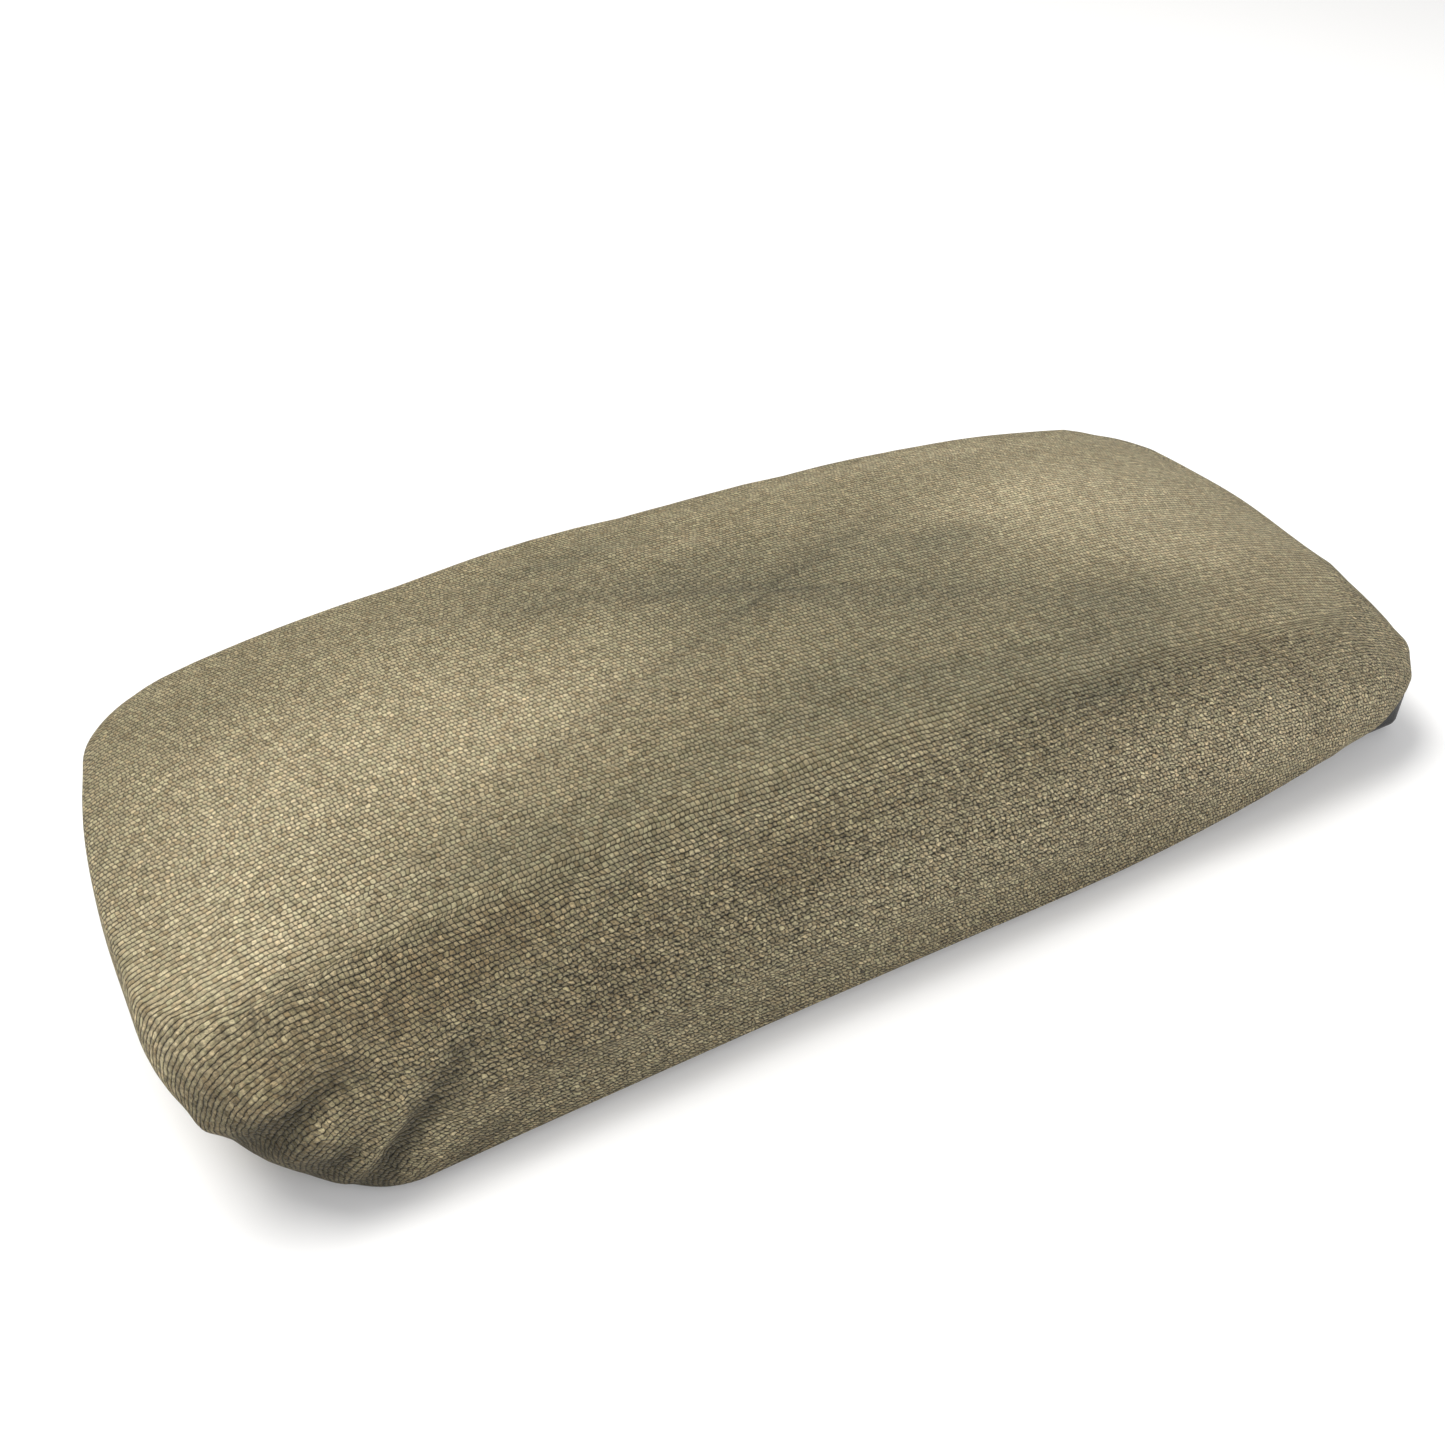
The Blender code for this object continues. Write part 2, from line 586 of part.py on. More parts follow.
def prism(name, plan, low, high, collection=None):
    """A plan outline as a solid between two heights."""
    bm = bmesh.new()
    face = bm.faces.new([bm.verts.new((x, y, low)) for x, y in plan])
    raised = bmesh.ops.extrude_face_region(bm, geom=[face])["geom"]
    raised_points = [thing for thing in raised if isinstance(thing, bmesh.types.BMVert)]
    bmesh.ops.translate(bm, vec=(0, 0, high - low), verts=raised_points)
    bmesh.ops.recalc_face_normals(bm, faces=bm.faces)
    mesh = bpy.data.meshes.new(name)
    bm.to_mesh(mesh)
    bm.free()
    return put(name, mesh, collection)


def make_panel(parent):
    """The black lower panel: an open tray with a recessed field, a hinge pocket and a latch opening."""
    wall = PANEL_WALL
    rings = []
    for step in range(4):
        angle = math.radians(30 * step)
        shrink, rise = (1 - math.sin(angle)) * PANEL_EDGE_RADIUS, 1 - math.cos(angle)
        plan = rounded_plan(PANEL_FRONT + shrink, PANEL_REAR - shrink, PANEL_HALF - shrink,
                            PANEL_CORNER - shrink)
        rings.append([(x, y, PANEL_BOTTOM + rise * PANEL_EDGE_RADIUS) for x, y in plan])
    blank_top = PANEL_TOP + JOIN_DEPTH
    rings.append([(x, y, blank_top) for x, y, _ in rings[-1]])
    rings.reverse()
    middle = (PANEL_FRONT + PANEL_REAR) / 2
    panel = loft("lower_panel", rings, start_point=(middle, 0.0, blank_top),
                 end_point=(middle, 0.0, PANEL_BOTTOM))
    inside = rounded_plan(PANEL_FRONT + wall, PANEL_REAR - wall, PANEL_HALF - wall, PANEL_CORNER - wall)
    past = 5 * MM  # how far a cutter runs past what it cuts
    hollow = prism("panel_hollow", inside, PANEL_BOTTOM + wall, PANEL_TOP + past, CUTTERS)
    cut(panel, as_tool(hollow))
    line_front, line_rear = PANEL_FRONT - past, PANEL_REAR + past
    side_line = [(line_front, PANEL_SIDE_TOP), (PANEL_RISE_START, PANEL_SIDE_TOP),
                 (PANEL_RISE_END, PANEL_TOP), (line_rear, PANEL_TOP), (line_rear, blank_top + past),
                 (line_front, blank_top + past)]
    cut(panel, as_tool(extrusion("panel_side_line", side_line, -PANEL_HALF - past, PANEL_HALF + past,
                                 collection=CUTTERS)))
    field_step = ((FIELD_FRONT - wall, -FIELD_HALF - wall, STEP_UNDER),
                  (FIELD_REAR + wall, FIELD_HALF + wall, FIELD_UNDER + wall))
    pocket_step = ((POCKET_FRONT - wall, -POCKET_HALF - wall, STEP_UNDER),
                   (PANEL_REAR - wall / 2, POCKET_HALF + wall, POCKET_UNDER + wall))
    join(panel, tool("panel_steps", boxes=[field_step, pocket_step]))
    below = PANEL_BOTTOM - past
    lever_side = LEVER_HALF + LEVER_CLEARANCE
    cut(panel, tool("panel_recesses", boxes=[
        ((FIELD_FRONT, -FIELD_HALF, below), (FIELD_REAR, FIELD_HALF, FIELD_UNDER)),
        ((POCKET_FRONT, -POCKET_HALF, below),
         (KNUCKLE_NOTCH_FRONT + JOIN_DEPTH, POCKET_HALF, POCKET_UNDER)),
        ((PANEL_FRONT - past, -lever_side, below), (STRIKER_REAR, lever_side, LEVER_OPENING_TOP))]))
    cut(panel, tool("panel_knuckle_notch", boxes=[
        ((KNUCKLE_NOTCH_FRONT, -POCKET_HALF, below), (PANEL_REAR + past, POCKET_HALF, PANEL_TOP + past))]))
    holes = []
    for spots, radius in ((PANEL_SCREW_SPOTS + HINGE_SCREW_SPOTS, SHANK_HOLE), (STOP_SPOTS, STOP_HOLE),
                          (LATCH_SCREW_SPOTS, LATCH_SCREW_HOLE)):
        holes += [((x, y, 0), "Z", radius, PANEL_TOP) for x, y in spots]
    cut(panel, tool("panel_holes", rods=holes))
    return finish(panel, "panel_plastic", parent)


def screw_profile(head_radius, head, shank_radius, length):
    """A screw that points up: a head with a driver recess below, then the shank and its tip."""
    tip = 1.2 * MM
    return [(0.0, length), (shank_radius * 0.3, length), (shank_radius, length - tip),
            (shank_radius, 0.0), (head_radius, 0.0), (head_radius, -head * 0.6),
            (head_radius * 0.8, -head), (head_radius * 0.42, -head), (head_radius * 0.3, -head * 0.4),
            (0.0, -head * 0.4)]


def make_screws(parent):
    for number, (x, y) in enumerate(PANEL_SCREW_SPOTS, start=1):
        seat = FIELD_UNDER - GAP
        profile = screw_profile(3.6 * MM, 1.8 * MM, SHANK_RADIUS, SCREW_TIP - seat)
        screw = turned(f"panel_screw_{number}", profile, (x, y, seat), steps=SMALL_STEPS)
        finish(screw, "zinc_steel", parent)
    for number, (x, y) in enumerate(HINGE_SCREW_SPOTS, start=1):
        seat = LID_LEAF_UNDER - GAP
        profile = screw_profile(3.2 * MM, 1.4 * MM, SHANK_RADIUS, SCREW_TIP - seat)
        screw = turned(f"hinge_screw_{number}", profile, (x, y, seat), steps=SMALL_STEPS)
        finish(screw, "zinc_steel", parent)


def make_stops(parent):
    """Rubber buffers with a neck through the panel and a bulb that holds them in."""
    neck, floor_top = STOP_HOLE - GAP, PANEL_BOTTOM + PANEL_WALL
    profile = [(0.0, floor_top + 3.2 * MM), (1.2 * MM, floor_top + 3.0 * MM),
               (3.3 * MM, floor_top + GAP), (neck, floor_top + GAP), (neck, PANEL_BOTTOM - GAP),
               (5.5 * MM, PANEL_BOTTOM - GAP), (5.5 * MM, 0.4 * MM), (5.0 * MM, 0.0), (0.0, 0.0)]
    for number, (x, y) in enumerate(STOP_SPOTS, start=1):
        stop = turned(f"bump_stop_{number}", profile, (x, y, 0.0), steps=SMALL_STEPS)
        finish(stop, "stop_rubber", parent)


# ---------------------------------------------------------------- hinge

def knuckle_span(number):
    """Start and end along Y of one of the five knuckles, with a little play between them."""
    start = -LEAF_HALF + number * KNUCKLE_LENGTH
    return start + 0.2 * MM, start + KNUCKLE_LENGTH - 0.2 * MM


def leaf_holes(name, radius):
    return tool(name, rods=[((x, y, -LEAF), "Z", radius, 6 * LEAF) for x, y in HINGE_SCREW_SPOTS])


def make_leaf(name, under, strap, knuckles, bores, hole_radius, parent):
    """A flat leaf, a strap up to each of its knuckles, and the pin's bore through them."""
    leaf = shapes(name, boxes=[((LEAF_FRONT, -LEAF_HALF, under), (LEAF_REAR, LEAF_HALF, under + LEAF))])
    for number in knuckles:
        near, far = knuckle_span(number)
        join(leaf, as_tool(extrusion(f"{name}_strap_{number}", strap, near, far, collection=CUTTERS)))
        join(leaf, tool(f"{name}_knuckle_{number}",
                        rods=[((HINGE_X, near, HINGE_Z), "Y", KNUCKLE_RADIUS, far - near)]))
    for number, radius in zip(knuckles, bores):
        near, far = knuckle_span(number)
        past = 0.1 * MM
        cut(leaf, tool(f"{name}_bore_{number}",
                       rods=[((HINGE_X, near - past, HINGE_Z), "Y", radius, far - near + 2 * past)]))
    cut(leaf, leaf_holes(f"{name}_holes", hole_radius))
    return finish(leaf, "zinc_steel", parent)


def make_hinge(lid):
    make_leaf("hinge_console_leaf", 0.0, CONSOLE_STRAP, (1, 3), (PIN_BORE, PIN_BORE),
              CONSOLE_LEAF_HOLE, None)
    make_leaf("hinge_lid_leaf", LID_LEAF_UNDER, LID_STRAP, (0, 2, 4), (BUSH_BORE, PIN_BORE, BUSH_BORE),
              SHANK_HOLE, lid)
    head_inner, chamfer = -PIN_HALF + PIN_HEAD, 0.4 * MM
    profile = [(0.0, PIN_HALF), (PIN_RADIUS - chamfer, PIN_HALF), (PIN_RADIUS, PIN_HALF - chamfer),
               (PIN_RADIUS, head_inner), (PIN_HEAD_RADIUS, head_inner),
               (PIN_HEAD_RADIUS, -PIN_HALF + chamfer), (PIN_HEAD_RADIUS - chamfer, -PIN_HALF),
               (0.0, -PIN_HALF)]
    finish(turned("hinge_pin", profile, (HINGE_X, 0, HINGE_Z), axis="Y"), "zinc_steel", None)
    make_clip()
    for side_name, side in (("near", -1), ("far", 1)):
        make_bush(side_name, side, lid)


def make_clip():
    """A retaining clip on the far end of the pin, open below."""
    start, past = LEAF_HALF + 0.9 * MM, 1 * MM
    clip = shapes("hinge_pin_clip", rods=[((HINGE_X, start, HINGE_Z), "Y", CLIP_RADIUS, CLIP_THICK)])
    cut(clip, tool("clip_bore", rods=[((HINGE_X, start - past, HINGE_Z), "Y", PIN_BORE,
                                       CLIP_THICK + 2 * past)]))
    cut(clip, tool("clip_mouth", boxes=[((HINGE_X - CLIP_MOUTH_HALF, start - past,
                                          HINGE_Z - CLIP_RADIUS - past),
                                         (HINGE_X + CLIP_MOUTH_HALF, start + CLIP_THICK + past, HINGE_Z))]))
    finish(clip, "spring_steel", None)


def make_bush(side_name, side, parent):
    """A flanged bush pressed into an outer knuckle."""
    inner, outer = LEAF_HALF - KNUCKLE_LENGTH + 0.5 * MM, LEAF_HALF + 0.1 * MM
    start = inner if side > 0 else -outer
    bush = shapes(f"hinge_bush_{side_name}",
                  rods=[((HINGE_X, start, HINGE_Z), "Y", BUSH_RADIUS, outer - inner)])
    joined = 0.02 * MM
    flange_start = outer - joined if side > 0 else joined - outer - BUSH_FLANGE
    join(bush, tool(f"bush_flange_{side_name}",
                    rods=[((HINGE_X, flange_start, HINGE_Z), "Y", BUSH_FLANGE_RADIUS, BUSH_FLANGE)]))
    cut(bush, tool(f"bush_bore_{side_name}",
                   rods=[((HINGE_X, start - BUSH_RADIUS, HINGE_Z), "Y", PIN_BORE, outer)]))
    finish(bush, "bush_nylon", parent)


# ---------------------------------------------------------------- latch

def make_lever(parent):
    """Finger paddle, two arms through the panel's front, a hub on the pin, and the claw below it."""
    lever = extrusion("latch_lever", LEVER_SIDE, -LEVER_HALF, LEVER_HALF)
    join(lever, as_tool(extrusion("lever_paddle", PADDLE_SIDE, -PADDLE_HALF, PADDLE_HALF,
                                  collection=CUTTERS)))
    cut(lever, latch_bore("lever_bore"))
    cut(lever, tool("lever_spring_bay", boxes=[SPRING_BAY]))
    return finish(lever, "panel_plastic", parent)


def latch_bore(name):
    reach = 2 * LEVER_HALF
    return tool(name, rods=[((LATCH_X, -reach, LATCH_Z), "Y", LATCH_HOLE, 2 * reach)])


def make_latch(lid, lever_pivot):
    floor_top = PANEL_BOTTOM + PANEL_WALL + GAP
    foot_top = floor_top + LATCH_FOOT_THICK
    housing = shapes("latch_housing", boxes=[
        ((CHEEK_FRONT, -LATCH_FOOT_REACH, floor_top), (CHEEK_REAR, -CHEEK_INNER, foot_top))])
    join(housing, tool("housing_foot", boxes=[
        ((CHEEK_FRONT, CHEEK_INNER, floor_top), (CHEEK_REAR, LATCH_FOOT_REACH, foot_top))]))
    cheeks = [((CHEEK_FRONT, low, floor_top + GAP), (CHEEK_REAR, high, CHEEK_TOP))
              for low, high in ((-CHEEK_OUTER, -CHEEK_INNER), (CHEEK_INNER, CHEEK_OUTER))]
    join(housing, tool("housing_cheeks", boxes=cheeks))
    back_side, back = CHEEK_INNER + 0.5 * MM, 1.5 * MM
    join(housing, tool("housing_back", boxes=[
        ((CHEEK_REAR - back, -back_side, CHEEK_TOP - 5 * MM),
         (CHEEK_REAR, back_side, CHEEK_TOP - 0.4 * MM))]))
    cut(housing, latch_bore("housing_pin_hole"))
    cut(housing, tool("housing_screw_holes", rods=[((x, y, PANEL_BOTTOM), "Z", LATCH_SCREW_HOLE, PANEL_TOP)
                                                   for x, y in LATCH_SCREW_SPOTS]))
    finish(housing, "pan_plastic", lid)
    reach, chamfer = CHEEK_OUTER + 1.2 * MM, 0.3 * MM
    profile = [(0.0, reach), (LATCH_PIN_RADIUS - chamfer, reach), (LATCH_PIN_RADIUS, reach - chamfer),
               (LATCH_PIN_RADIUS, chamfer - reach), (LATCH_PIN_RADIUS - chamfer, -reach), (0.0, -reach)]
    pin = turned("latch_pin", profile, (LATCH_X, 0, LATCH_Z), axis="Y", steps=SMALL_STEPS)
    finish(pin, "zinc_steel", lid)
    screw_side = [(0.0, 1.0 * MM), (0.7 * MM, 1.0 * MM), (1.0 * MM, 1.5 * MM), (2.2 * MM, 1.5 * MM),
                  (2.7 * MM, 1.0 * MM), (2.7 * MM, 0.0), (1.3 * MM, 0.0), (1.3 * MM, -3.4 * MM),
                  (0.8 * MM, -3.9 * MM), (0.0, -3.9 * MM)]
    for number, (x, y) in enumerate(LATCH_SCREW_SPOTS, start=1):
        screw = turned(f"latch_screw_{number}", screw_side, (x, y, foot_top + GAP), steps=SMALL_STEPS)
        finish(screw, "zinc_steel", lid)
    make_lever(lever_pivot)
    make_spring(lid)


def make_spring(parent):
    """Torsion spring round the latch pin: a coil, a leg to the housing's back and a leg on the lever."""
    start_y = -SPRING_LENGTH / 2
    steps = round(SPRING_TURNS * SMALL_STEPS)
    points = [(LATCH_X + SPRING_BACK_REACH, start_y, LATCH_Z + SPRING_COIL)]
    for step in range(steps + 1):
        angle = math.pi / 2 + 2 * math.pi * step / SMALL_STEPS
        points.append((LATCH_X + SPRING_COIL * math.cos(angle), start_y + SPRING_LENGTH * step / steps,
                       LATCH_Z + SPRING_COIL * math.sin(angle)))
    points.append((LATCH_X + SPRING_LEVER_FOOT[0], -start_y, LATCH_Z + SPRING_LEVER_FOOT[1]))
    curve = bpy.data.curves.new("latch_spring", "CURVE")
    curve.dimensions = "3D"
    curve.bevel_depth = SPRING_WIRE
    curve.bevel_resolution = 1
    curve.use_fill_caps = True
    spline = curve.splines.new("POLY")
    spline.points.add(len(points) - 1)
    for point, place in zip(spline.points, points):
        point.co = (*place, 1.0)
    spring = put("latch_spring", curve)
    curve.materials.append(material("spring_steel", "latch_spring"))
    hang(spring, parent)


# ---------------------------------------------------------------- assembly

lid_pivot = pivot("lid_pivot", (HINGE_X, 0.0, HINGE_Z))
latch_pivot = pivot("latch_pivot", (LATCH_X, 0.0, LATCH_Z), lid_pivot)
STAPLE_SLOTS = staple_slots()
make_cover(lid_pivot)
make_foam(lid_pivot)
make_pan(lid_pivot)
make_staples(lid_pivot)
make_panel(lid_pivot)
make_screws(lid_pivot)
make_stops(lid_pivot)
make_hinge(lid_pivot)
make_latch(lid_pivot, latch_pivot)
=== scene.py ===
"""Console armrest lid: knit cloth over foam, a black lower panel, a rear hinge and a front latch.

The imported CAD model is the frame. The cloth cover and the foam are rebuilt here in detail, and every
other CAD piece keeps its shape and gets a finished material. Lengths named _MM are in millimetres in
the CAD frame, and other lengths are in metres.
"""
import json
import math

import bpy
import numpy as np
from mathutils import Matrix, Vector


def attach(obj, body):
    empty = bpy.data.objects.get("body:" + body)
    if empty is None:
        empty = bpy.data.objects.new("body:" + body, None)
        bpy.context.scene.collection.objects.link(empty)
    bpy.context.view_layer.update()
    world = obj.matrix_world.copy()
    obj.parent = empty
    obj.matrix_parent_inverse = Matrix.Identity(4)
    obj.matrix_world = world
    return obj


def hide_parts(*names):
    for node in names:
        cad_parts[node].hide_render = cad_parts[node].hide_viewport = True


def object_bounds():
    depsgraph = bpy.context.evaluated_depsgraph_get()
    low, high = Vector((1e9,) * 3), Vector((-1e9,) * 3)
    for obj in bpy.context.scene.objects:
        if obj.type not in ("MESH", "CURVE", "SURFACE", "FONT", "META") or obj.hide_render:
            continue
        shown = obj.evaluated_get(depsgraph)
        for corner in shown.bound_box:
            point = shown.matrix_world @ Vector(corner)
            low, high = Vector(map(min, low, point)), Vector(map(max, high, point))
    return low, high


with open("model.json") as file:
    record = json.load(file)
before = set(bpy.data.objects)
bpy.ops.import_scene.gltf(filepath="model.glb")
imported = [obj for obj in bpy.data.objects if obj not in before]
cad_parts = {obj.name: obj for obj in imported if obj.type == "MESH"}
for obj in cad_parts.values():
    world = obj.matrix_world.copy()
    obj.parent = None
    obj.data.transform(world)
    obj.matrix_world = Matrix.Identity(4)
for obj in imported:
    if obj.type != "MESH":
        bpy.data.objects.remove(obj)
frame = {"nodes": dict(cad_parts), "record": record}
cad_low, cad_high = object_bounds()

MM = 0.001

# ---------------------------------------------------------------- the padded form

OUTLINES = {
    "crease": dict(front=149.5, rear=138.5, half=52.3, corner_front=17, corner_rear=17,
                   bow_front=5.1, bow_rear=10.6, bow_side=0.5, narrowing=0),
    "middle": dict(front=159, rear=163, half=73.5, corner_front=26.5, corner_rear=20,
                   bow_front=2.7, bow_rear=2.7, bow_side=0, narrowing=0),
    "foot": dict(front=129.5, rear=147, half=73.5, corner_front=17, corner_rear=9,
                 bow_front=2.7, bow_rear=2.7, bow_side=-2, narrowing=7.4),
}
NARROWING_START_MM = 20
MIDDLE_HEIGHT_MM = 24
SUMMIT_MM = (-14.5, 57.3)  # x and z of the crown's highest point
FALL_ALONG, FALL_AT_ENDS, FALL_ACROSS = 0.516, 10.3, 1.49  # how fast the crown falls from there, in metres
FOOT_MM, REAR_LIFT_MM, REAR_LIFT_RUN_MM = 1.5, 10, 100
FRONT_ARCH_MM, FRONT_ARCH_HALF_MM, FRONT_ARCH_END_MM = 10, 40, -110
HEM_INSET_MM, HEM_FLANGE_MM, HEM_UNDER_MM = 7, 15, 14.7
# How the cloth turns round the lower edge: inset and rise of each row
HEM_TURN_MM = ((0.15, 0.35), (0.8, 0), (2.2, -0.1), (4.4, 0), (5.9, 0.1), (6.7, 0.6), (7.0, 1.5))
CLOTH_MM = 1.0
FOAM_INSET_MM, FOAM_UNDER_MM = 2.9, 18.5

CORNER_STEPS = 16
SIDE_STEPS = (64, 34, 120, 34)  # far side, front, near side, rear
NEAR_SIDE_CROWDING = 1.55  # above 1, more of the near side's points stand at its front end
CROWN_ROWS, WALL_ROWS = 30, 58
CORNER_GIVE = 0.6  # the stitches are stretched by this share round the corners
CORNER_TURN_MM = 20  # over this run the ribs turn from the side's direction to the end's

CLOTH_START_MM = 0.8  # the settling cloth starts this far inside the cover
CLOTH_CAP_MM = 0.6  # and moves it no further than this
CLOTH_BROAD_PASSES = 12  # rounds of averaging that find the broad part of its movement
CLOTH_BROAD_LEFT_OUT = 0.85  # the share of the broad part that is left out
CLOTH_STRIDE = 3  # it has every third row and column of the cover
CLOTH_FRAMES = 20
CLOTH_FOAM_INSET_MM = 1.2
CLOTH_GAP = 0.0006
CLOTH_SETTINGS = dict(quality=6, mass=0.25, tension_stiffness=18, compression_stiffness=18,
                      shear_stiffness=8, bending_stiffness=0.6, use_pressure=True,
                      uniform_pressure_force=3.0)


def outline(front, rear, half, corner_front, corner_rear, bow_front, bow_rear, bow_side, narrowing,
            inset=0.0):
    """Points round a rounded rectangle with bowed ends and sides, counter-clockwise from the rear end."""
    front, rear, half = front - inset, rear - inset, half - inset
    round_front, round_rear = max(corner_front - inset, 2), max(corner_rear - inset, 2)
    centres = [(rear - round_rear, half - round_rear, 0, round_rear),
               (round_front - front, half - round_front, 90, round_front),
               (round_front - front, round_front - half, 180, round_front),
               (rear - round_rear, round_rear - half, 270, round_rear)]
    runs = []
    for number, (x, y, turn, radius) in enumerate(centres):
        angle = np.radians(turn + 90 * np.arange(CORNER_STEPS + 1) / CORNER_STEPS)
        arc = np.stack([x + radius * np.cos(angle), y + radius * np.sin(angle)], 1)
        next_x, next_y, _, next_radius = centres[(number + 1) % 4]
        end_angle = math.radians(turn + 90)
        end = np.array([next_x + next_radius * math.cos(end_angle),
                        next_y + next_radius * math.sin(end_angle)])
        share = np.arange(1, SIDE_STEPS[number])[:, None] / SIDE_STEPS[number]
        if number == 2:
            share = share ** NEAR_SIDE_CROWDING
        runs += [arc, arc[-1] + (end - arc[-1]) * share]
    x, y = np.concatenate(runs).T
    middle_x, reach = (rear - front) / 2, (rear + front) / 2
    along, across = (x - middle_x) / reach, y / half
    bow_end = np.where(along > 0, bow_rear, bow_front)
    run = np.clip((x - NARROWING_START_MM) / (rear - NARROWING_START_MM), 0, None)
    return (x + along * bow_end * (1 - across ** 2),
            y + across * (bow_side * (1 - along ** 2) - narrowing * run ** 2))


def crown(x, y):
    away = (x - SUMMIT_MM[0]) * MM
    return SUMMIT_MM[1] - (FALL_ALONG * away ** 2 + FALL_AT_ENDS * away ** 4
                           + FALL_ACROSS * (y * MM) ** 2) / MM


def foot_height(x, y):
    run = np.clip((x - (OUTLINES["foot"]["rear"] - REAR_LIFT_RUN_MM)) / REAR_LIFT_RUN_MM, 0, 1)
    arch = FRONT_ARCH_MM * np.cos(math.pi / 2 * np.clip(y / FRONT_ARCH_HALF_MM, -1, 1))
    return FOOT_MM + REAR_LIFT_MM * run ** 2 + np.where(x < FRONT_ARCH_END_MM, arch, 0)


def wall_guides(inset):
    """Crease, middle and foot points of the wall all the way round."""
    crease, middle, foot = (outline(**OUTLINES[name], inset=inset) for name in ("crease", "middle", "foot"))
    edge = outline(**OUTLINES["foot"])
    return (np.stack([*crease, crown(*crease) - inset], 1),
            np.stack([*middle, np.full_like(middle[0], MIDDLE_HEIGHT_MM)], 1),
            np.stack([*foot, foot_height(*edge)], 1))


def wall_ring(guides, share):
    top, middle, foot = guides
    share = np.broadcast_to(share, top.shape[:1])[:, None]
    return (1 - share) ** 2 * top + 2 * share * (1 - share) * middle + share ** 2 * foot


def share_at(guides, height):
    top, middle, foot = (guide[:, 2] for guide in guides)
    drop, slope, bend = top - height, 2 * (top - middle), top - 2 * middle + foot
    return np.minimum(2 * drop / (slope + np.sqrt(np.maximum(slope ** 2 - 4 * bend * drop, 0))), 1)


def level_ring(inset, height):
    guides = wall_guides(inset)
    ring = wall_ring(guides, share_at(guides, height))
    ring[:, 2] = height
    return ring


def cover_rings():
    """The cloth's outer face: over the crown, down the walls, round the lower edge and along the hem."""
    guides = wall_guides(0)
    edge = np.stack(outline(**OUTLINES["crease"]), 1)
    rings = []
    for scale in np.linspace(0.03, 1, CROWN_ROWS) ** 0.9:
        x, y = (edge * scale).T
        rings.append(np.stack([x, y, crown(x, y)], 1))
    rings += [wall_ring(guides, share) for share in np.linspace(0, 1, WALL_ROWS + 1)[1:-1]]
    foot = guides[2][:, 2]
    for inset, rise in HEM_TURN_MM:
        rings.append(level_ring(inset, foot + rise))
    rings.append(level_ring(HEM_INSET_MM, foot + (HEM_UNDER_MM - foot) * 0.6))
    rings.append(level_ring(HEM_INSET_MM, HEM_UNDER_MM - 0.2))
    flange = [level_ring(inset, HEM_UNDER_MM) for inset in (HEM_INSET_MM + 0.6, HEM_FLANGE_MM)]
    return np.array(rings + flange)


def soften(grid, passes, first, last):
    """Rounds the rows from first to last by averaging each with its neighbours."""
    for _ in range(passes):
        grid[first:last] = grid[first:last] / 2 + (grid[first - 1:last - 1] + grid[first + 1:last + 1]) / 4
    return grid


def grid_normals(grid):
    round_way = np.roll(grid, -1, 1) - np.roll(grid, 1, 1)
    down_way = np.gradient(grid, axis=0)
    normal = np.cross(down_way, round_way)
    return normal / np.maximum(np.linalg.norm(normal, axis=2, keepdims=True), 1e-9)


def bell(distance, width):
    return np.exp(-(distance / width) ** 2)


def cloth_coordinates(grid):
    """Where each point lies on the flat cloth: X along the ribs and Y across them, in millimetres."""
    crease_row = CROWN_ROWS - 1
    edge = grid[crease_row, :, :2]
    tangent = np.roll(edge, -1, 0) - np.roll(edge, 1, 0)
    tangent /= np.linalg.norm(tangent, axis=1, keepdims=True)
    outward = np.stack([tangent[:, 1], -tangent[:, 0]], 1)
    length = np.linalg.norm(np.roll(edge, -1, 0) - edge, axis=1)
    place = np.cumsum(length) - length / 2
    apart = np.abs(place[:, None] - place)
    apart = np.minimum(apart, length.sum() - apart)
    outward = (bell(apart, CORNER_TURN_MM) * length) @ outward
    outward /= np.linalg.norm(outward, axis=1, keepdims=True)
    outward[:, 0] *= 1 - CORNER_GIVE * np.clip((np.abs(edge[:, 1]) - 8) / 25, 0, 1)
    step = np.linalg.norm(np.diff(grid, axis=0), axis=2)
    down = np.concatenate([np.zeros((1, grid.shape[1])), np.cumsum(step, axis=0)])
    down = down - down[crease_row]
    flat = grid[:, :, :2].copy()
    flat[crease_row:] = edge + outward * down[crease_row:, :, None]
    return flat, down


def along_line(points, line):
    """For every point, the distance to a bent line and the share of the way along it."""
    best = np.full(points.shape[:-1], 1e9)
    share = np.zeros(points.shape[:-1])
    for number, (start, end) in enumerate(zip(line[:-1], line[1:])):
        start, way = np.array(start, float), np.array(end, float) - np.array(start, float)
        t = np.clip(((points - start) @ way) / (way @ way), 0, 1)
        distance = np.linalg.norm(points - start - t[..., None] * way, axis=-1)
        nearer = distance < best
        best = np.where(nearer, distance, best)
        share = np.where(nearer, (number + t) / (len(line) - 1), share)
    return best, share


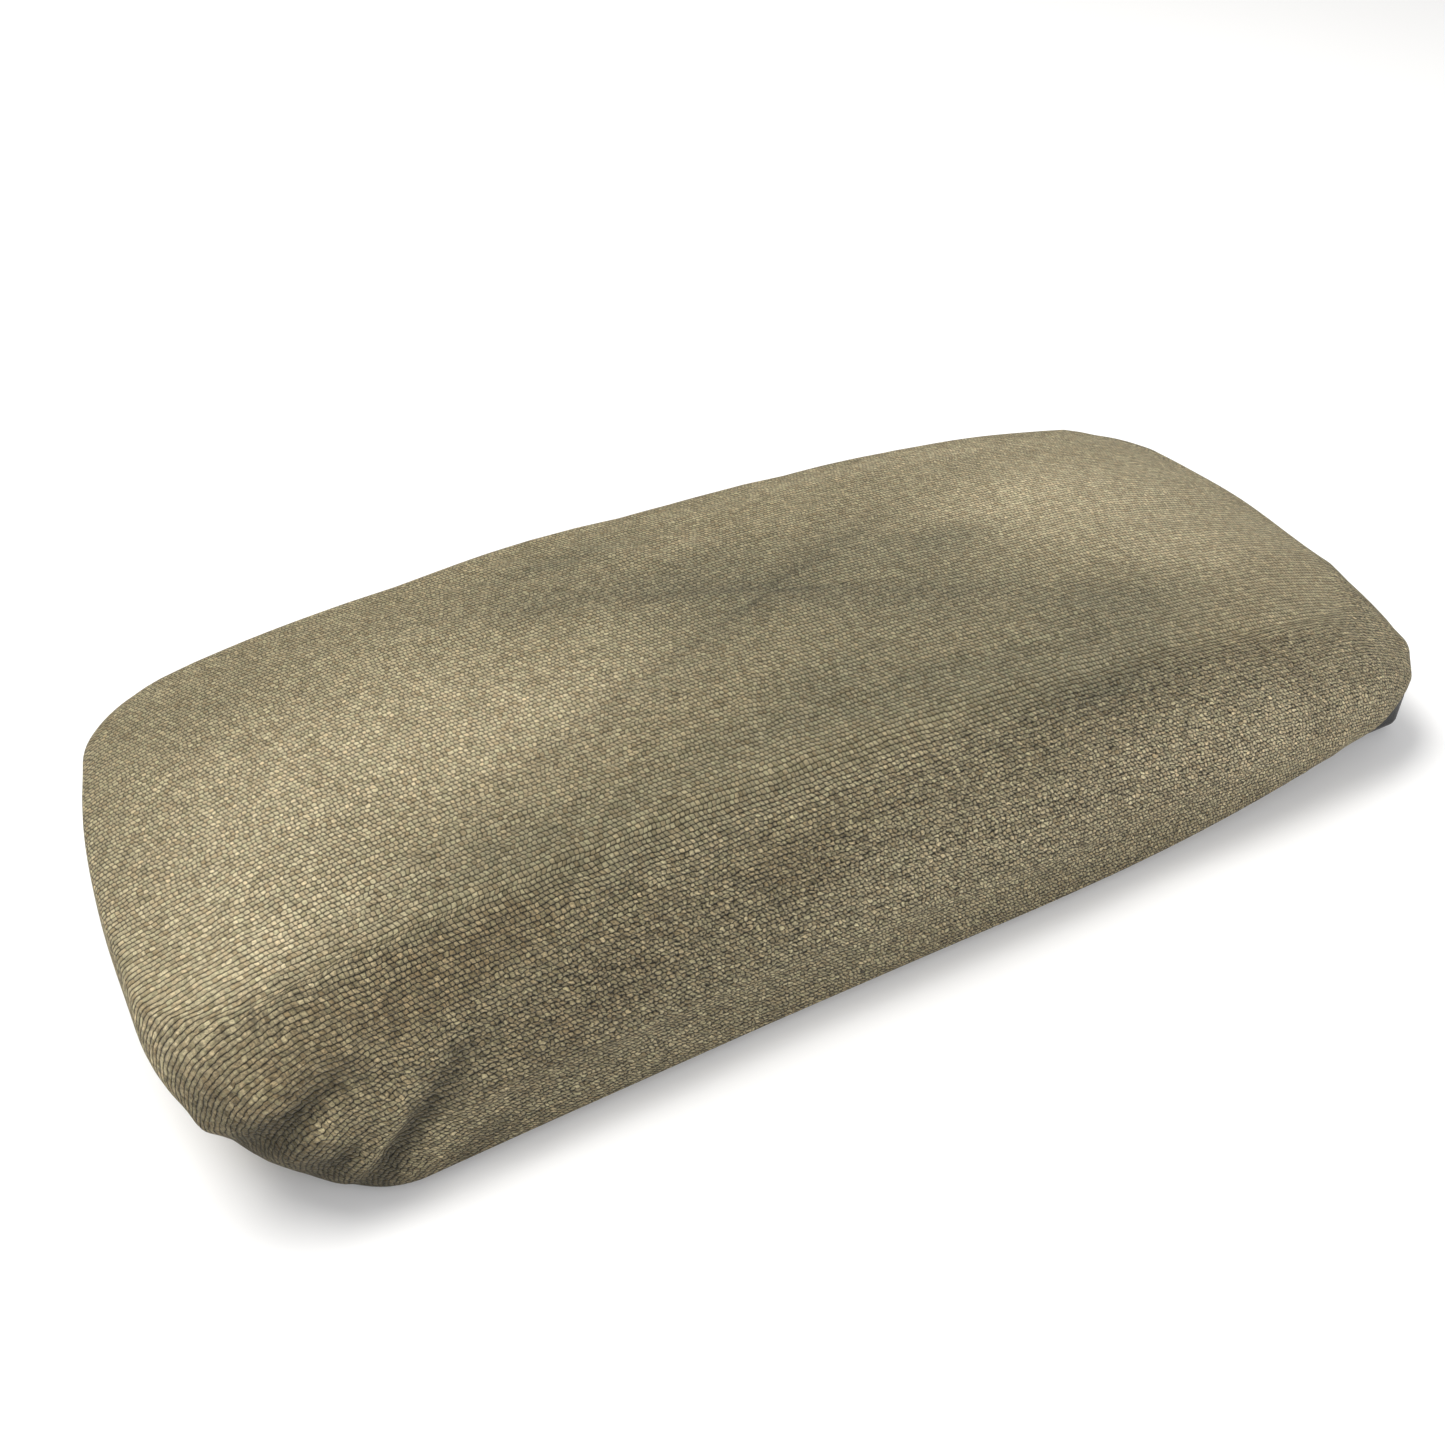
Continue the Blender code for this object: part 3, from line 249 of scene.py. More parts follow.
# Gathers at the near front corner: lines in X and Z on the near wall, height in or out, and half width
GATHERS = [
    ([(-147, 22), (-141, 27), (-135, 30), (-127, 33.5)], 0.8, 2.2),
    ([(-143, 18), (-137, 22), (-132, 25.5), (-126, 29), (-117, 32)], -2.0, 2.5),
    ([(-138, 14), (-130, 20.5), (-118, 25)], 0.8, 2.2),
    ([(-133, 9), (-127, 14), (-119, 18.5), (-111, 21)], -1.2, 2.2),
    ([(-131, 1), (-126, 8), (-121, 14), (-115, 20.5), (-109, 27), (-103, 34)], 1.7, 2.7),
    ([(-129, -1), (-124, 5), (-118, 11), (-111, 17), (-102, 24), (-93, 29)], -2.1, 2.9),
    ([(-120, 0), (-110, 8), (-99, 15), (-88, 21)], 0.9, 3.6),
    ([(-110, 1), (-101, 6), (-90, 12)], -0.6, 3.4),
]
# Light pulls at the other three corners: signs of X and Y, then depth
PULLS = [(-1, 1, 0.55), (1, -1, 0.35), (1, 1, 0.45)]
# Small lumps where the cloth is bunched at the ends of the crease: place, height and half width
LUMPS = [((-147, -58.5, 24), 1.0, 3.0), ((151.5, -58, 24), 1.2, 4.0)]


def shape_details(grid):
    """Heights along the normal of folds, lumps and uneven foam, and of the gathers alone."""
    x, y, z = grid[..., 0], grid[..., 1], grid[..., 2]
    row = np.arange(grid.shape[0])[:, None]
    wall = np.clip((row - CROWN_ROWS) / 6, 0, 1) * np.clip((CROWN_ROWS + WALL_ROWS - row) / 5, 0, 1)
    gathers = np.zeros(grid.shape[:2])
    near = np.clip((-y - 45) / 8, 0, 1)
    for line, amount, width in GATHERS:
        distance, share = along_line(np.stack([x, z], -1), line)
        fade = np.clip(1.15 * (1 - share), 0, 1) ** 0.8 * np.clip(0.25 + share * 3, 0, 1)
        gathers += amount * bell(distance, width) * fade * near
    height = gathers * wall * np.clip((z - foot_height(x, y) - 1) / 12, 0, 1)
    for side_x, side_y, amount in PULLS:
        corner = bell(np.hypot(x - side_x * 135, y - side_y * 62), 26)
        angle = np.arctan2(y - side_y * 40, x - side_x * 100)
        height += amount * np.sin(angle * 26 + z * 0.05) * corner * wall * np.clip((34 - z) / 20, 0, 1)
    for place, amount, width in LUMPS:
        height += amount * bell(np.linalg.norm(grid - np.array(place), axis=-1), width)
    sag = (np.sin(x * 0.071 + 0.6) * np.sin(y * 0.093 + 1.1) + 0.6 * np.sin(x * 0.13 - y * 0.11 + 2.0)
           + 0.5 * np.sin(x * 0.047 + y * 0.17))
    height += 0.16 * sag * np.clip((CROWN_ROWS + WALL_ROWS - row) / 8, 0, 1)
    return height, gathers * np.clip((row - CROWN_ROWS) / 6, 0, 1)


def cloth_pass(grid):
    """Settles a coarse copy of the cover over the foam, and returns how far each point moves."""
    rows = np.unique(np.concatenate([np.arange(2, CROWN_ROWS + WALL_ROWS, CLOTH_STRIDE),
                                     [CROWN_ROWS + WALL_ROWS - 1]]))
    columns = np.arange(0, grid.shape[1], CLOTH_STRIDE)
    coarse = (grid - grid_normals(grid) * CLOTH_START_MM)[rows][:, columns]
    count = len(columns)
    mesh = bpy.data.meshes.new("cloth_pass")
    faces = [(r * count + c, r * count + (c + 1) % count,
              (r + 1) * count + (c + 1) % count, (r + 1) * count + c)
             for r in range(len(rows) - 1) for c in range(count)]
    faces += [tuple(reversed(range(count))), tuple(range(len(coarse) * count - count, len(coarse) * count))]
    mesh.from_pydata([tuple(point * MM) for point in coarse.reshape(-1, 3)], [], faces)
    thing = bpy.data.objects.new("cloth_pass", mesh)
    bpy.context.scene.collection.objects.link(thing)
    held = thing.vertex_groups.new(name="held")
    last = len(rows) - 1
    held.add([last * count + c for c in range(count)] + [(last - 1) * count + c for c in range(count)],
             1.0, "REPLACE")
    core = bpy.data.objects.new("cloth_pass_core", foam_mesh("cloth_pass_core", CLOTH_FOAM_INSET_MM))
    bpy.context.scene.collection.objects.link(core)
    core.modifiers.new("collision", "COLLISION")
    core.collision.thickness_outer = CLOTH_GAP
    core.collision.use_culling = False
    cloth = thing.modifiers.new("cloth", "CLOTH")
    for name, value in CLOTH_SETTINGS.items():
        setattr(cloth.settings, name, value)
    cloth.settings.vertex_group_mass = "held"
    cloth.settings.effector_weights.gravity = 0
    cloth.collision_settings.use_collision = True
    cloth.collision_settings.distance_min = CLOTH_GAP
    scene = bpy.context.scene
    cloth.point_cache.frame_start, cloth.point_cache.frame_end = 1, CLOTH_FRAMES
    for number in range(1, CLOTH_FRAMES + 1):
        scene.frame_set(number)
    settled = thing.evaluated_get(bpy.context.evaluated_depsgraph_get()).to_mesh()
    moved = np.empty(len(settled.vertices) * 3)
    settled.vertices.foreach_get("co", moved)
    moved = moved.reshape(len(rows), count, 3) / MM - grid[rows][:, columns]
    scene.frame_set(1)
    for spare in (thing, core):
        bpy.data.objects.remove(spare)
    broad = moved.copy()
    for _ in range(CLOTH_BROAD_PASSES):
        broad = broad / 2 + (np.roll(broad, 1, 1) + np.roll(broad, -1, 1)) / 4
        padded = np.concatenate([broad[:1], broad, broad[-1:]])
        broad = broad / 2 + (padded[:-2] + padded[2:]) / 4
    moved = moved - CLOTH_BROAD_LEFT_OUT * broad
    size = np.linalg.norm(moved, axis=2, keepdims=True)
    moved *= np.minimum(1, CLOTH_CAP_MM / np.maximum(size, 1e-6))
    wrapped = np.concatenate([moved, moved[:, :1]], 1)
    stops = np.concatenate([columns, [grid.shape[1]]])
    widened = np.array([[np.interp(np.arange(grid.shape[1]), stops, wrapped[r, :, axis])
                         for axis in range(3)] for r in range(len(rows))])
    spread = np.zeros_like(grid)
    for axis in range(3):
        for c in range(grid.shape[1]):
            spread[:, c, axis] = np.interp(np.arange(grid.shape[0]), rows, widened[:, axis, c])
    row = np.arange(grid.shape[0])[:, None, None]
    spread *= np.clip((CROWN_ROWS + WALL_ROWS - 3 - row) / 8, 0, 1) * np.clip((row - 4) / 8, 0, 1)
    return soften(np.concatenate([spread[:1]] * 2 + [spread]), 3, 2, grid.shape[0])[2:]


def ring_mesh(name, grid, close_end):
    """A mesh over closed rings, with a fan at the first ring and, where asked, at the last."""
    rows, count = grid.shape[:2]
    points = [tuple(point * MM) for point in grid.reshape(-1, 3)]
    faces = [(r * count + c, (r + 1) * count + c,
              (r + 1) * count + (c + 1) % count, r * count + (c + 1) % count)
             for r in range(rows - 1) for c in range(count)]
    points.append(tuple(grid[0].mean(0) * MM))
    faces += [(rows * count, c, (c + 1) % count) for c in range(count)]
    if close_end:
        points.append(tuple(grid[-1].mean(0) * MM))
        last = (rows - 1) * count
        faces += [(last + (c + 1) % count, last + c, rows * count + 1) for c in range(count)]
    mesh = bpy.data.meshes.new(name)
    mesh.from_pydata(points, [], faces)
    mesh.polygons.foreach_set("use_smooth", [True] * len(mesh.polygons))
    return mesh


def foam_mesh(name, inset):
    guides = wall_guides(inset)
    edge = np.stack(outline(**OUTLINES["crease"], inset=inset), 1)
    rings = []
    for scale in np.linspace(0.05, 1, 12):
        x, y = (edge * scale).T
        rings.append(np.stack([x, y, crown(x, y) - inset], 1))
    under = share_at(guides, FOAM_UNDER_MM)
    rings += [wall_ring(guides, under * share) for share in np.linspace(0, 1, 16)[1:]]
    rings[-1][:, 2] = FOAM_UNDER_MM
    return ring_mesh(name, np.array(rings)[:, ::2], close_end=True)


def add_piece(name, mesh):
    thing = bpy.data.objects.new(name, mesh)
    bpy.context.scene.collection.objects.link(thing)
    return thing


def set_attribute(mesh, name, values, kind="FLOAT"):
    layer = mesh.attributes.new(name, kind, "POINT")
    field = "vector" if kind == "FLOAT_VECTOR" else "value"
    layer.data.foreach_set(field, np.asarray(values, float).ravel())


# ---------------------------------------------------------------- soil, wear and paler patches on the cloth, with painted shade and highlight at its folds and lower edge

# Each mark: place on the flat cloth (X along, Y across), half sizes, turn in degrees, strength
PALE_MARKS = [
    (-100, -8, 52, 30, 0, 0.8), (-62, -14, 26, 11, 5, 0.4), (-132, -30, 20, 30, 0, 0.55),
    (-118, -44, 24, 7, 0, 0.5), (92, 8, 40, 26, 0, 0.8), (66, 10, 14, 9, 0, 0.2),
    (108, -22, 22, 10, 0, 0.35), (86, -84, 46, 16, 0, 0.95), (140, -66, 14, 16, 0, 0.4),
    (0, -86, 40, 12, 0, 0.4), (52, -80, 16, 10, 0, 0.3), (-8, 29, 12, 4, 0, 0.3),
    (-76, -96, 5, 14, 30, 0.2), (52, -52, 6, 2.5, 0, 0.5), (60, -48, 4, 2, 0, 0.4),
    (-20, -58, 40, 4, 0, 0.25), (70, 44, 50, 5, 0, 0.4),
]
GREY_MARKS = [
    (-48, 22, 20, 10, 0, 0.6), (36, -16, 28, 14, 0, 0.6), (70, -36, 26, 11, 0, 1.0),
    (-30, 38, 17, 6, -4, 0.75), (-66, -54, 26, 5, 0, 0.6), (-25, -54, 26, 5, 0, 0.45),
    (50, -57, 30, 7, 0, 1.0), (-76, -46, 22, 6, 0, 0.8), (-50, 37, 13, 3.5, -5, 0.55),
    (-25, 13, 12, 9, 0, 0.5), (-3, 1, 24, 10, 0, 0.9), (-6, 18, 16, 9, 0, 0.7), (27, 9, 13, 8, 0, 0.5),
    (48, 2, 17, 6, 0, 0.75), (-3, -33, 20, 7, 5, 0.75), (8, -44, 24, 6, 4, 0.95),
    (26, -45, 18, 6, 0, 0.7), (45, -47, 20, 5.5, 0, 0.9), (-26, -41, 18, 6, 0, 0.5),
    (-44, -44, 18, 5, 0, 0.4), (72, -49, 14, 5, 0, 0.4), (10, -15, 60, 22, 0, 0.3),
    (-120, 30, 20, 8, 0, 0.3),
]
BROWN_MARKS = [
    (100, -66, 2.6, 15, -4, 0.6), (98, -88, 4, 8, 0, 0.4), (88, -60, 22, 7, 0, 0.3),
    (-34, -73, 14, 7, 20, 0.6), (20, -66, 60, 8, 0, 0.22), (55, -88, 30, 12, 0, 0.3),
    (110, -40, 14, 6, 0, 0.25), (-68, -78, 18, 9, 25, 0.6), (-88, -61, 17, 6, 8, 0.8),
    (-101, -66, 13, 6, 10, 0.7), (-92, -86, 20, 9, 25, 0.6), (-128, -66, 22, 10, 0, 0.5),
    (-140, -14, 6, 16, 0, 0.25),
]


def marks(flat, rows):
    total = np.zeros(flat.shape[:-1])
    for x, y, half_x, half_y, turn, strength in rows:
        angle = math.radians(turn)
        away = flat - np.array((x, y))
        along = away[..., 0] * math.cos(angle) + away[..., 1] * math.sin(angle)
        across = away[..., 1] * math.cos(angle) - away[..., 0] * math.sin(angle)
        total = total + strength * np.exp(-(along / half_x) ** 2 - (across / half_y) ** 2)
    return np.clip(total, 0, 1)


def make_cover():
    grid = soften(cover_rings(), 3, CROWN_ROWS - 2, CROWN_ROWS + 3)
    grid = grid + cloth_pass(grid)
    flat, down = cloth_coordinates(grid)
    height, gathers = shape_details(grid)
    grid = grid + grid_normals(grid) * height[..., None]
    mesh = ring_mesh("knit_cover", grid, close_end=False)

    def to_points(values):
        values = values.reshape(-1, *values.shape[2:])
        return np.concatenate([values, values[:flat.shape[1]].mean(0, keepdims=True)])

    set_attribute(mesh, "cloth", to_points(np.concatenate([flat, down[..., None]], 2)), "FLOAT_VECTOR")
    x, y, z = grid[..., 0], grid[..., 1], grid[..., 2]
    near_front = bell(np.hypot(x + 128, (y + 58) * 0.8), 34)
    crease = bell(down - 6, 12)
    open_crease = (crease * (0.35 + 0.65 * np.clip(-y / 40, 0, 1))
                   * np.clip(0.75 - x / 260, 0.2, 1.1))
    set_attribute(mesh, "rib", to_points(np.clip(open_crease + 0.5 * near_front, 0, 1)))
    set_attribute(mesh, "turn", to_points(bell(np.hypot(x + 150, (y + 54) * 0.9), 24)))
    set_attribute(mesh, "coarse", to_points(np.clip(0.9 * np.clip(down / 8, 0, 1) + 0.5 * near_front
                                                    + 0.25 * crease, 0, 1)))
    # Painted shade: darker along the lower edge of the walls, where shade falls near the ground.
    painted_foot_shade = np.clip(1 - (z - foot_height(x, y)) / 9, 0, 1) * (down > 20)
    set_attribute(mesh, "pale", to_points(marks(flat, PALE_MARKS)))
    set_attribute(mesh, "grey", to_points(marks(flat, GREY_MARKS)))
    # Real brown stains, with painted shade added along the lower edge and round the near front corner.
    set_attribute(mesh, "brown_stain_and_shade", to_points(np.clip(marks(flat, BROWN_MARKS) + 0.55 * painted_foot_shade ** 2
                                                   + 0.35 * near_front * (down > 3), 0, 1)))
    # Painted shade under the near front corner, where the wall turns under, and in the valleys of the
    # gathers.
    under_shade_line = 24 - 0.9 * (x + 139)
    under = np.clip(1 - (z - under_shade_line) / 9, 0, 1) * bell(x + 132, 20) * np.clip((-y - 50) / 8, 0, 1)
    painted_valley_and_under_shade = np.clip(np.clip(-gathers / 1.1, 0, 1) ** 0.8 + 0.9 * under, 0, 1)
    # Painted highlight on the ridges of the gathers.
    painted_ridge_highlight = np.clip(gathers / 1.3, 0, 1)
    set_attribute(mesh, "painted_valley_and_under_shade", to_points(painted_valley_and_under_shade))
    set_attribute(mesh, "painted_ridge_highlight", to_points(painted_ridge_highlight))
    rear_edge = np.clip((x - 112) / 16, 0, 1) * bell(z - foot_height(x, y) - 0.2, 0.9) * (down > 20)
    set_attribute(mesh, "edge", to_points(rear_edge))
    cover = add_piece("knit_cover", mesh)
    skin = cover.modifiers.new("cloth_thickness", "SOLIDIFY")
    skin.thickness = CLOTH_MM * MM * 0.9
    skin.offset = -1.0
    return cover


# ---------------------------------------------------------------- materials

class Maker:
    """Adds nodes to one material, with a short way to write sums."""

    def __init__(self, name):
        self.material = bpy.data.materials.new(name)
        self.material.use_nodes = True
        self.tree = self.material.node_tree
        self.shader = self.tree.nodes["Principled BSDF"]

    def add(self, kind, **settings):
        node = self.tree.nodes.new(kind)
        for key, value in settings.items():
            setattr(node, key, value)
        return node

    def put(self, socket, value):
        if isinstance(value, bpy.types.NodeSocket):
            self.tree.links.new(value, socket)
        else:
            socket.default_value = value

    def sum(self, operation, *values, clamp=False):
        node = self.add("ShaderNodeMath", operation=operation, use_clamp=clamp)
        for socket, value in zip(node.inputs, values):
            self.put(socket, value)
        return node.outputs[0]

    def mix(self, share, first, second, blend="MIX"):
        node = self.add("ShaderNodeMix", data_type="RGBA", blend_type=blend)
        self.put(node.inputs["Factor"], share)
        self.put(node.inputs[6], first)
        self.put(node.inputs[7], second)
        return node.outputs[2]

    def attribute(self, name, output="Fac"):
        return self.add("ShaderNodeAttribute", attribute_name=name).outputs[output]

    def join(self, x=0.0, y=0.0, z=0.0):
        node = self.add("ShaderNodeCombineXYZ")
        for socket, value in zip(node.inputs, (x, y, z)):
            self.put(socket, value)
        return node.outputs[0]

    def split(self, vector):
        node = self.add("ShaderNodeSeparateXYZ")
        self.put(node.inputs[0], vector)
        return node.outputs

    def object_place(self):
        return self.add("ShaderNodeTexCoord").outputs["Object"]

    def scaled(self, vector, factors):
        node = self.add("ShaderNodeVectorMath", operation="MULTIPLY")
        self.put(node.inputs[0], vector)
        self.put(node.inputs[1], factors)
        return node.outputs[0]

    def noise(self, vector, scale, detail=2.0, roughness=0.5, output="Fac"):
        node = self.add("ShaderNodeTexNoise")
        self.put(node.inputs["Vector"], vector)
        node.inputs["Scale"].default_value = scale
        node.inputs["Detail"].default_value = detail
        node.inputs["Roughness"].default_value = roughness
        return node.outputs[output]

    def ramp(self, value, stops):
        node = self.add("ShaderNodeValToRGB")
        self.put(node.inputs[0], value)
        bar = node.color_ramp.elements
        while len(bar) < len(stops):
            bar.new(0.5)
        for element, (place, colour) in zip(bar, stops):
            element.position = place
            element.color = (*colour, 1) if isinstance(colour, tuple) else (colour, colour, colour, 1)
        return node.outputs[0]

    def bump(self, height, distance, strength=1.0, normal=None):
        node = self.add("ShaderNodeBump")
        node.inputs["Distance"].default_value = distance
        node.inputs["Strength"].default_value = strength
        self.put(node.inputs["Height"], height)
        if normal is not None:
            self.put(node.inputs["Normal"], normal)
        return node.outputs[0]

    def set(self, **values):
        for key, value in values.items():
            self.put(self.shader.inputs[key.replace("_", " ")], value)
        return self.material


RIB_MM, STITCH_MM = 1.075, 0.98


def knit_material():
    m = Maker("knit_cloth")
    place = m.attribute("cloth", "Vector")
    drift = m.split(m.noise(place, 0.11, 3.0, 0.6, "Color"))
    wobble = m.split(m.noise(place, 0.75, 2.0, 0.5, "Color"))
    x, y, _ = m.split(place)
    unsteady = m.sum("MULTIPLY_ADD", m.sum("SUBTRACT", m.attribute("coarse"), m.attribute("rib")),
                     1.1, 0.45)
    x = m.sum("ADD", x, m.sum("MULTIPLY_ADD", m.sum("SUBTRACT", drift[0], 0.5), 2.2,
                              m.sum("MULTIPLY", m.sum("SUBTRACT", wobble[0], 0.5), unsteady)))
    y = m.sum("ADD", y, m.sum("MULTIPLY_ADD", m.sum("SUBTRACT", drift[1], 0.5), 1.6,
                              m.sum("MULTIPLY", m.sum("SUBTRACT", wobble[1], 0.5), unsteady)))
    across = m.sum("DIVIDE", y, RIB_MM)
    rib = m.sum("FLOOR", across)
    in_rib = m.sum("SUBTRACT", m.sum("FRACT", across), 0.5)
    shift = m.add("ShaderNodeTexWhiteNoise", noise_dimensions="1D")
    m.put(shift.inputs["W"], rib)
    offset = m.sum("MULTIPLY_ADD", rib, 0.5, m.sum("MULTIPLY", shift.outputs["Value"], 0.34))
    along = m.sum("ADD", m.sum("MULTIPLY_ADD", x, 1 / STITCH_MM, offset), m.sum("MULTIPLY", in_rib, 0.2))
    stitch = m.sum("FLOOR", along)
    in_stitch = m.sum("SUBTRACT", m.sum("FRACT", along), 0.5)
    cell = m.add("ShaderNodeTexWhiteNoise", noise_dimensions="2D")
    m.put(cell.inputs["Vector"], m.join(rib, stitch))
    chance = m.split(cell.outputs["Color"])
    rib_round = m.sum("SUBTRACT", 1.0,
                      m.sum("POWER", m.sum("MULTIPLY", m.sum("ABSOLUTE", in_rib), 2.0), 2.0))
    stitch_end = m.sum("POWER", m.sum("MULTIPLY", m.sum("ABSOLUTE", in_stitch), 2.0),
                       m.sum("MULTIPLY_ADD", m.attribute("rib"), 2.0, 2.2))
    stitch_round = m.sum("SUBTRACT", 1.0, m.sum("MULTIPLY", stitch_end,
                                                m.sum("MULTIPLY_ADD", m.attribute("turn"), -0.75, 1.0)))
    swell = m.sum("MULTIPLY_ADD", chance[0], 0.7, 0.65)
    bead = m.sum("MULTIPLY", m.sum("MULTIPLY", rib_round, stitch_round), swell)
    coarse = m.attribute("coarse")
    depth = m.sum("MULTIPLY_ADD", coarse, 0.30, 0.20)
    fuzz = m.noise(place, 4.0, 4.0, 0.75)
    pits = m.sum("MULTIPLY_ADD", m.noise(place, 0.85, 3.0, 0.7), 3.4, -1.2, clamp=True)
    height = m.sum("MULTIPLY_ADD", bead, depth, m.sum("MULTIPLY", fuzz, 0.16))
    height = m.sum("MULTIPLY_ADD", m.sum("MULTIPLY", pits, coarse), 0.22, height)

    pale, grey, brown_stain_and_shade = m.attribute("pale"), m.attribute("grey"), m.attribute("brown_stain_and_shade")
    patch = m.noise(place, 0.045, 4.0, 0.55)
    blotch = m.noise(place, 0.16, 3.0, 0.6)
    colour = m.mix(m.sum("MULTIPLY_ADD", patch, 1.6, -0.35, clamp=True), (0.262, 0.222, 0.132, 1),
                   (0.318, 0.277, 0.172, 1))
    uneven = m.sum("MULTIPLY_ADD", blotch, 1.1, 0.4)
    colour = m.mix(m.sum("MULTIPLY", m.sum("MULTIPLY", pale, uneven), 0.9, clamp=True), colour,
                   (0.50, 0.432, 0.285, 1))
    colour = m.mix(m.sum("MULTIPLY", m.sum("MULTIPLY", grey, uneven), 0.72, clamp=True), colour,
                   (0.165, 0.152, 0.096, 1))
    # Brown layer: real brown stains, and painted shade along the lower edge and round the near front
    # corner.
    colour = m.mix(m.sum("MULTIPLY", m.sum("MULTIPLY", brown_stain_and_shade, uneven), 0.6, clamp=True), colour,
                   (0.178, 0.132, 0.070, 1))
    yarn = m.ramp(chance[1], [(0.0, (0.66, 0.62, 0.54)), (0.3, (0.90, 0.88, 0.85)),
                              (0.7, (1.05, 1.05, 1.03)), (1.0, (1.42, 1.41, 1.38))])
    colour = m.mix(0.8, colour, yarn, "MULTIPLY")
    tint = m.ramp(chance[2], [(0.0, (1.08, 0.98, 0.9)), (0.5, (1.0, 1.0, 1.0)), (1.0, (0.95, 1.01, 0.95))])
    colour = m.mix(0.6, colour, tint, "MULTIPLY")
    # Painted light and shade on the stitches: bead tops are made brighter and the gaps between them darker,
    # as light and shade would fall.
    lit = m.add("ShaderNodeMapRange", interpolation_type="SMOOTHSTEP")
    m.put(lit.inputs["Value"], m.sum("MULTIPLY_ADD", fuzz, 0.45, m.sum("SUBTRACT", bead, 0.22)))
    m.put(lit.inputs["From Min"], 0.02)
    m.put(lit.inputs["From Max"], 0.62)
    m.put(lit.inputs["To Min"], m.sum("MULTIPLY_ADD", coarse, -0.18, 0.24))
    m.put(lit.inputs["To Max"], m.sum("MULTIPLY_ADD", coarse, 0.46, 1.25))
    # Painted shade in the pits of the knit.
    pit_shade_strength = m.sum("MULTIPLY_ADD", coarse, 0.42, 0.16)
    painted_pit_shade = m.sum("ADD", m.sum("MULTIPLY", pits, m.sum("MULTIPLY", pit_shade_strength, 1.3)),
                     m.sum("SUBTRACT", 1.0, pit_shade_strength))
    painted_light_and_shade = m.sum("MULTIPLY", lit.outputs[0], painted_pit_shade)
    # Painted shade in the valleys of the gathers and under the near front corner.
    painted_light_and_shade = m.sum("MULTIPLY", painted_light_and_shade, m.sum("MULTIPLY_ADD", m.attribute("painted_valley_and_under_shade"), -0.72, 1.0))
    # Painted highlight on the ridges of the gathers.
    painted_light_and_shade = m.sum("MULTIPLY", painted_light_and_shade, m.sum("MULTIPLY_ADD", m.attribute("painted_ridge_highlight"), 0.22, 1.0))
    colour = m.mix(1.0, colour, m.join(painted_light_and_shade, painted_light_and_shade, painted_light_and_shade), "MULTIPLY")
    colour = m.mix(m.sum("MULTIPLY", m.attribute("edge"), 0.55), colour, (0.62, 0.58, 0.48, 1))
    m.set(Base_Color=colour, Roughness=m.sum("MULTIPLY_ADD", chance[0], 0.12, 0.86),
          Normal=m.bump(height, 0.0014))
    m.set(Sheen_Weight=0.18, Sheen_Roughness=0.45, Specular_IOR_Level=0.18)
    m.shader.inputs["Sheen Tint"].default_value = (0.9, 0.85, 0.72, 1)
    return m.material


def foam_material():
    m = Maker("foam")
    place = m.object_place()
    cells = m.add("ShaderNodeTexVoronoi", feature="SMOOTH_F1")
    m.put(cells.inputs["Vector"], place)
    cells.inputs["Scale"].default_value = 900
    tone = m.noise(place, 30, 4)
    colour = m.mix(tone, (0.70, 0.60, 0.36, 1), (0.82, 0.75, 0.55, 1))
    colour = m.mix(m.sum("MULTIPLY", cells.outputs["Distance"], 0.6, clamp=True), colour,
                   (0.42, 0.34, 0.18, 1))
    return m.set(Base_Color=colour, Roughness=0.95, Normal=m.bump(cells.outputs["Distance"], 0.0006))


def plastic_material(name, colour, wear, rough):
    """Moulded plastic with a fine leather grain, dulled and scuffed in places."""
    m = Maker(name)
    place = m.object_place()
    grain = m.add("ShaderNodeTexVoronoi", feature="DISTANCE_TO_EDGE")
    m.put(grain.inputs["Vector"], place)
    grain.inputs["Scale"].default_value = 1400
    fine = m.noise(place, 2600, 3, 0.6)
    height = m.sum("MULTIPLY_ADD", m.sum("MINIMUM", grain.outputs["Distance"], 0.3), 2.0,
                   m.sum("MULTIPLY", fine, 0.4))
    dust = m.noise(place, 45, 5, 0.65)
    dust = m.sum("MULTIPLY_ADD", dust, 3.0, -1.35, clamp=True)
    scratch = m.noise(m.scaled(place, (40, 900, 900)), 1.0, 4, 0.7)
    scratch = m.sum("MULTIPLY_ADD", scratch, 12.0, -8.0, clamp=True)
    shade = m.mix(m.sum("MULTIPLY", dust, 0.5), colour, wear)
    shade = m.mix(m.sum("MULTIPLY", scratch, 0.35), shade, tuple(min(c * 2.5, 1) for c in wear[:3]) + (1,))
    roughness = m.sum("MULTIPLY_ADD", dust, 0.2, m.sum("MULTIPLY_ADD", scratch, -0.12, rough))
    return m.set(Base_Color=shade, Roughness=roughness, Normal=m.bump(height, 0.00006),
                 Specular_IOR_Level=0.45)


def metal_material(name, colour, dark, rough, streak):
    """Plated steel: fine drawing lines, cloudy plating, and a little tarnish in patches."""
    m = Maker(name)
    place = m.object_place()
    lines = m.noise(m.scaled(place, streak), 1.0, 4, 0.7)
    cloud = m.noise(place, 180, 3, 0.6)
    tarnish = m.sum("MULTIPLY_ADD", m.noise(place, 70, 5, 0.65), 3.5, -1.9, clamp=True)
    shade = m.mix(cloud, colour, tuple(c * 0.82 for c in colour[:3]) + (1,))
    shade = m.mix(m.sum("MULTIPLY", tarnish, 0.7), shade, dark)
    roughness = m.sum("MULTIPLY_ADD", lines, 0.16, m.sum("MULTIPLY_ADD", tarnish, 0.25, rough))
    return m.set(Base_Color=shade, Metallic=1.0, Roughness=roughness, Normal=m.bump(lines, 0.00002))


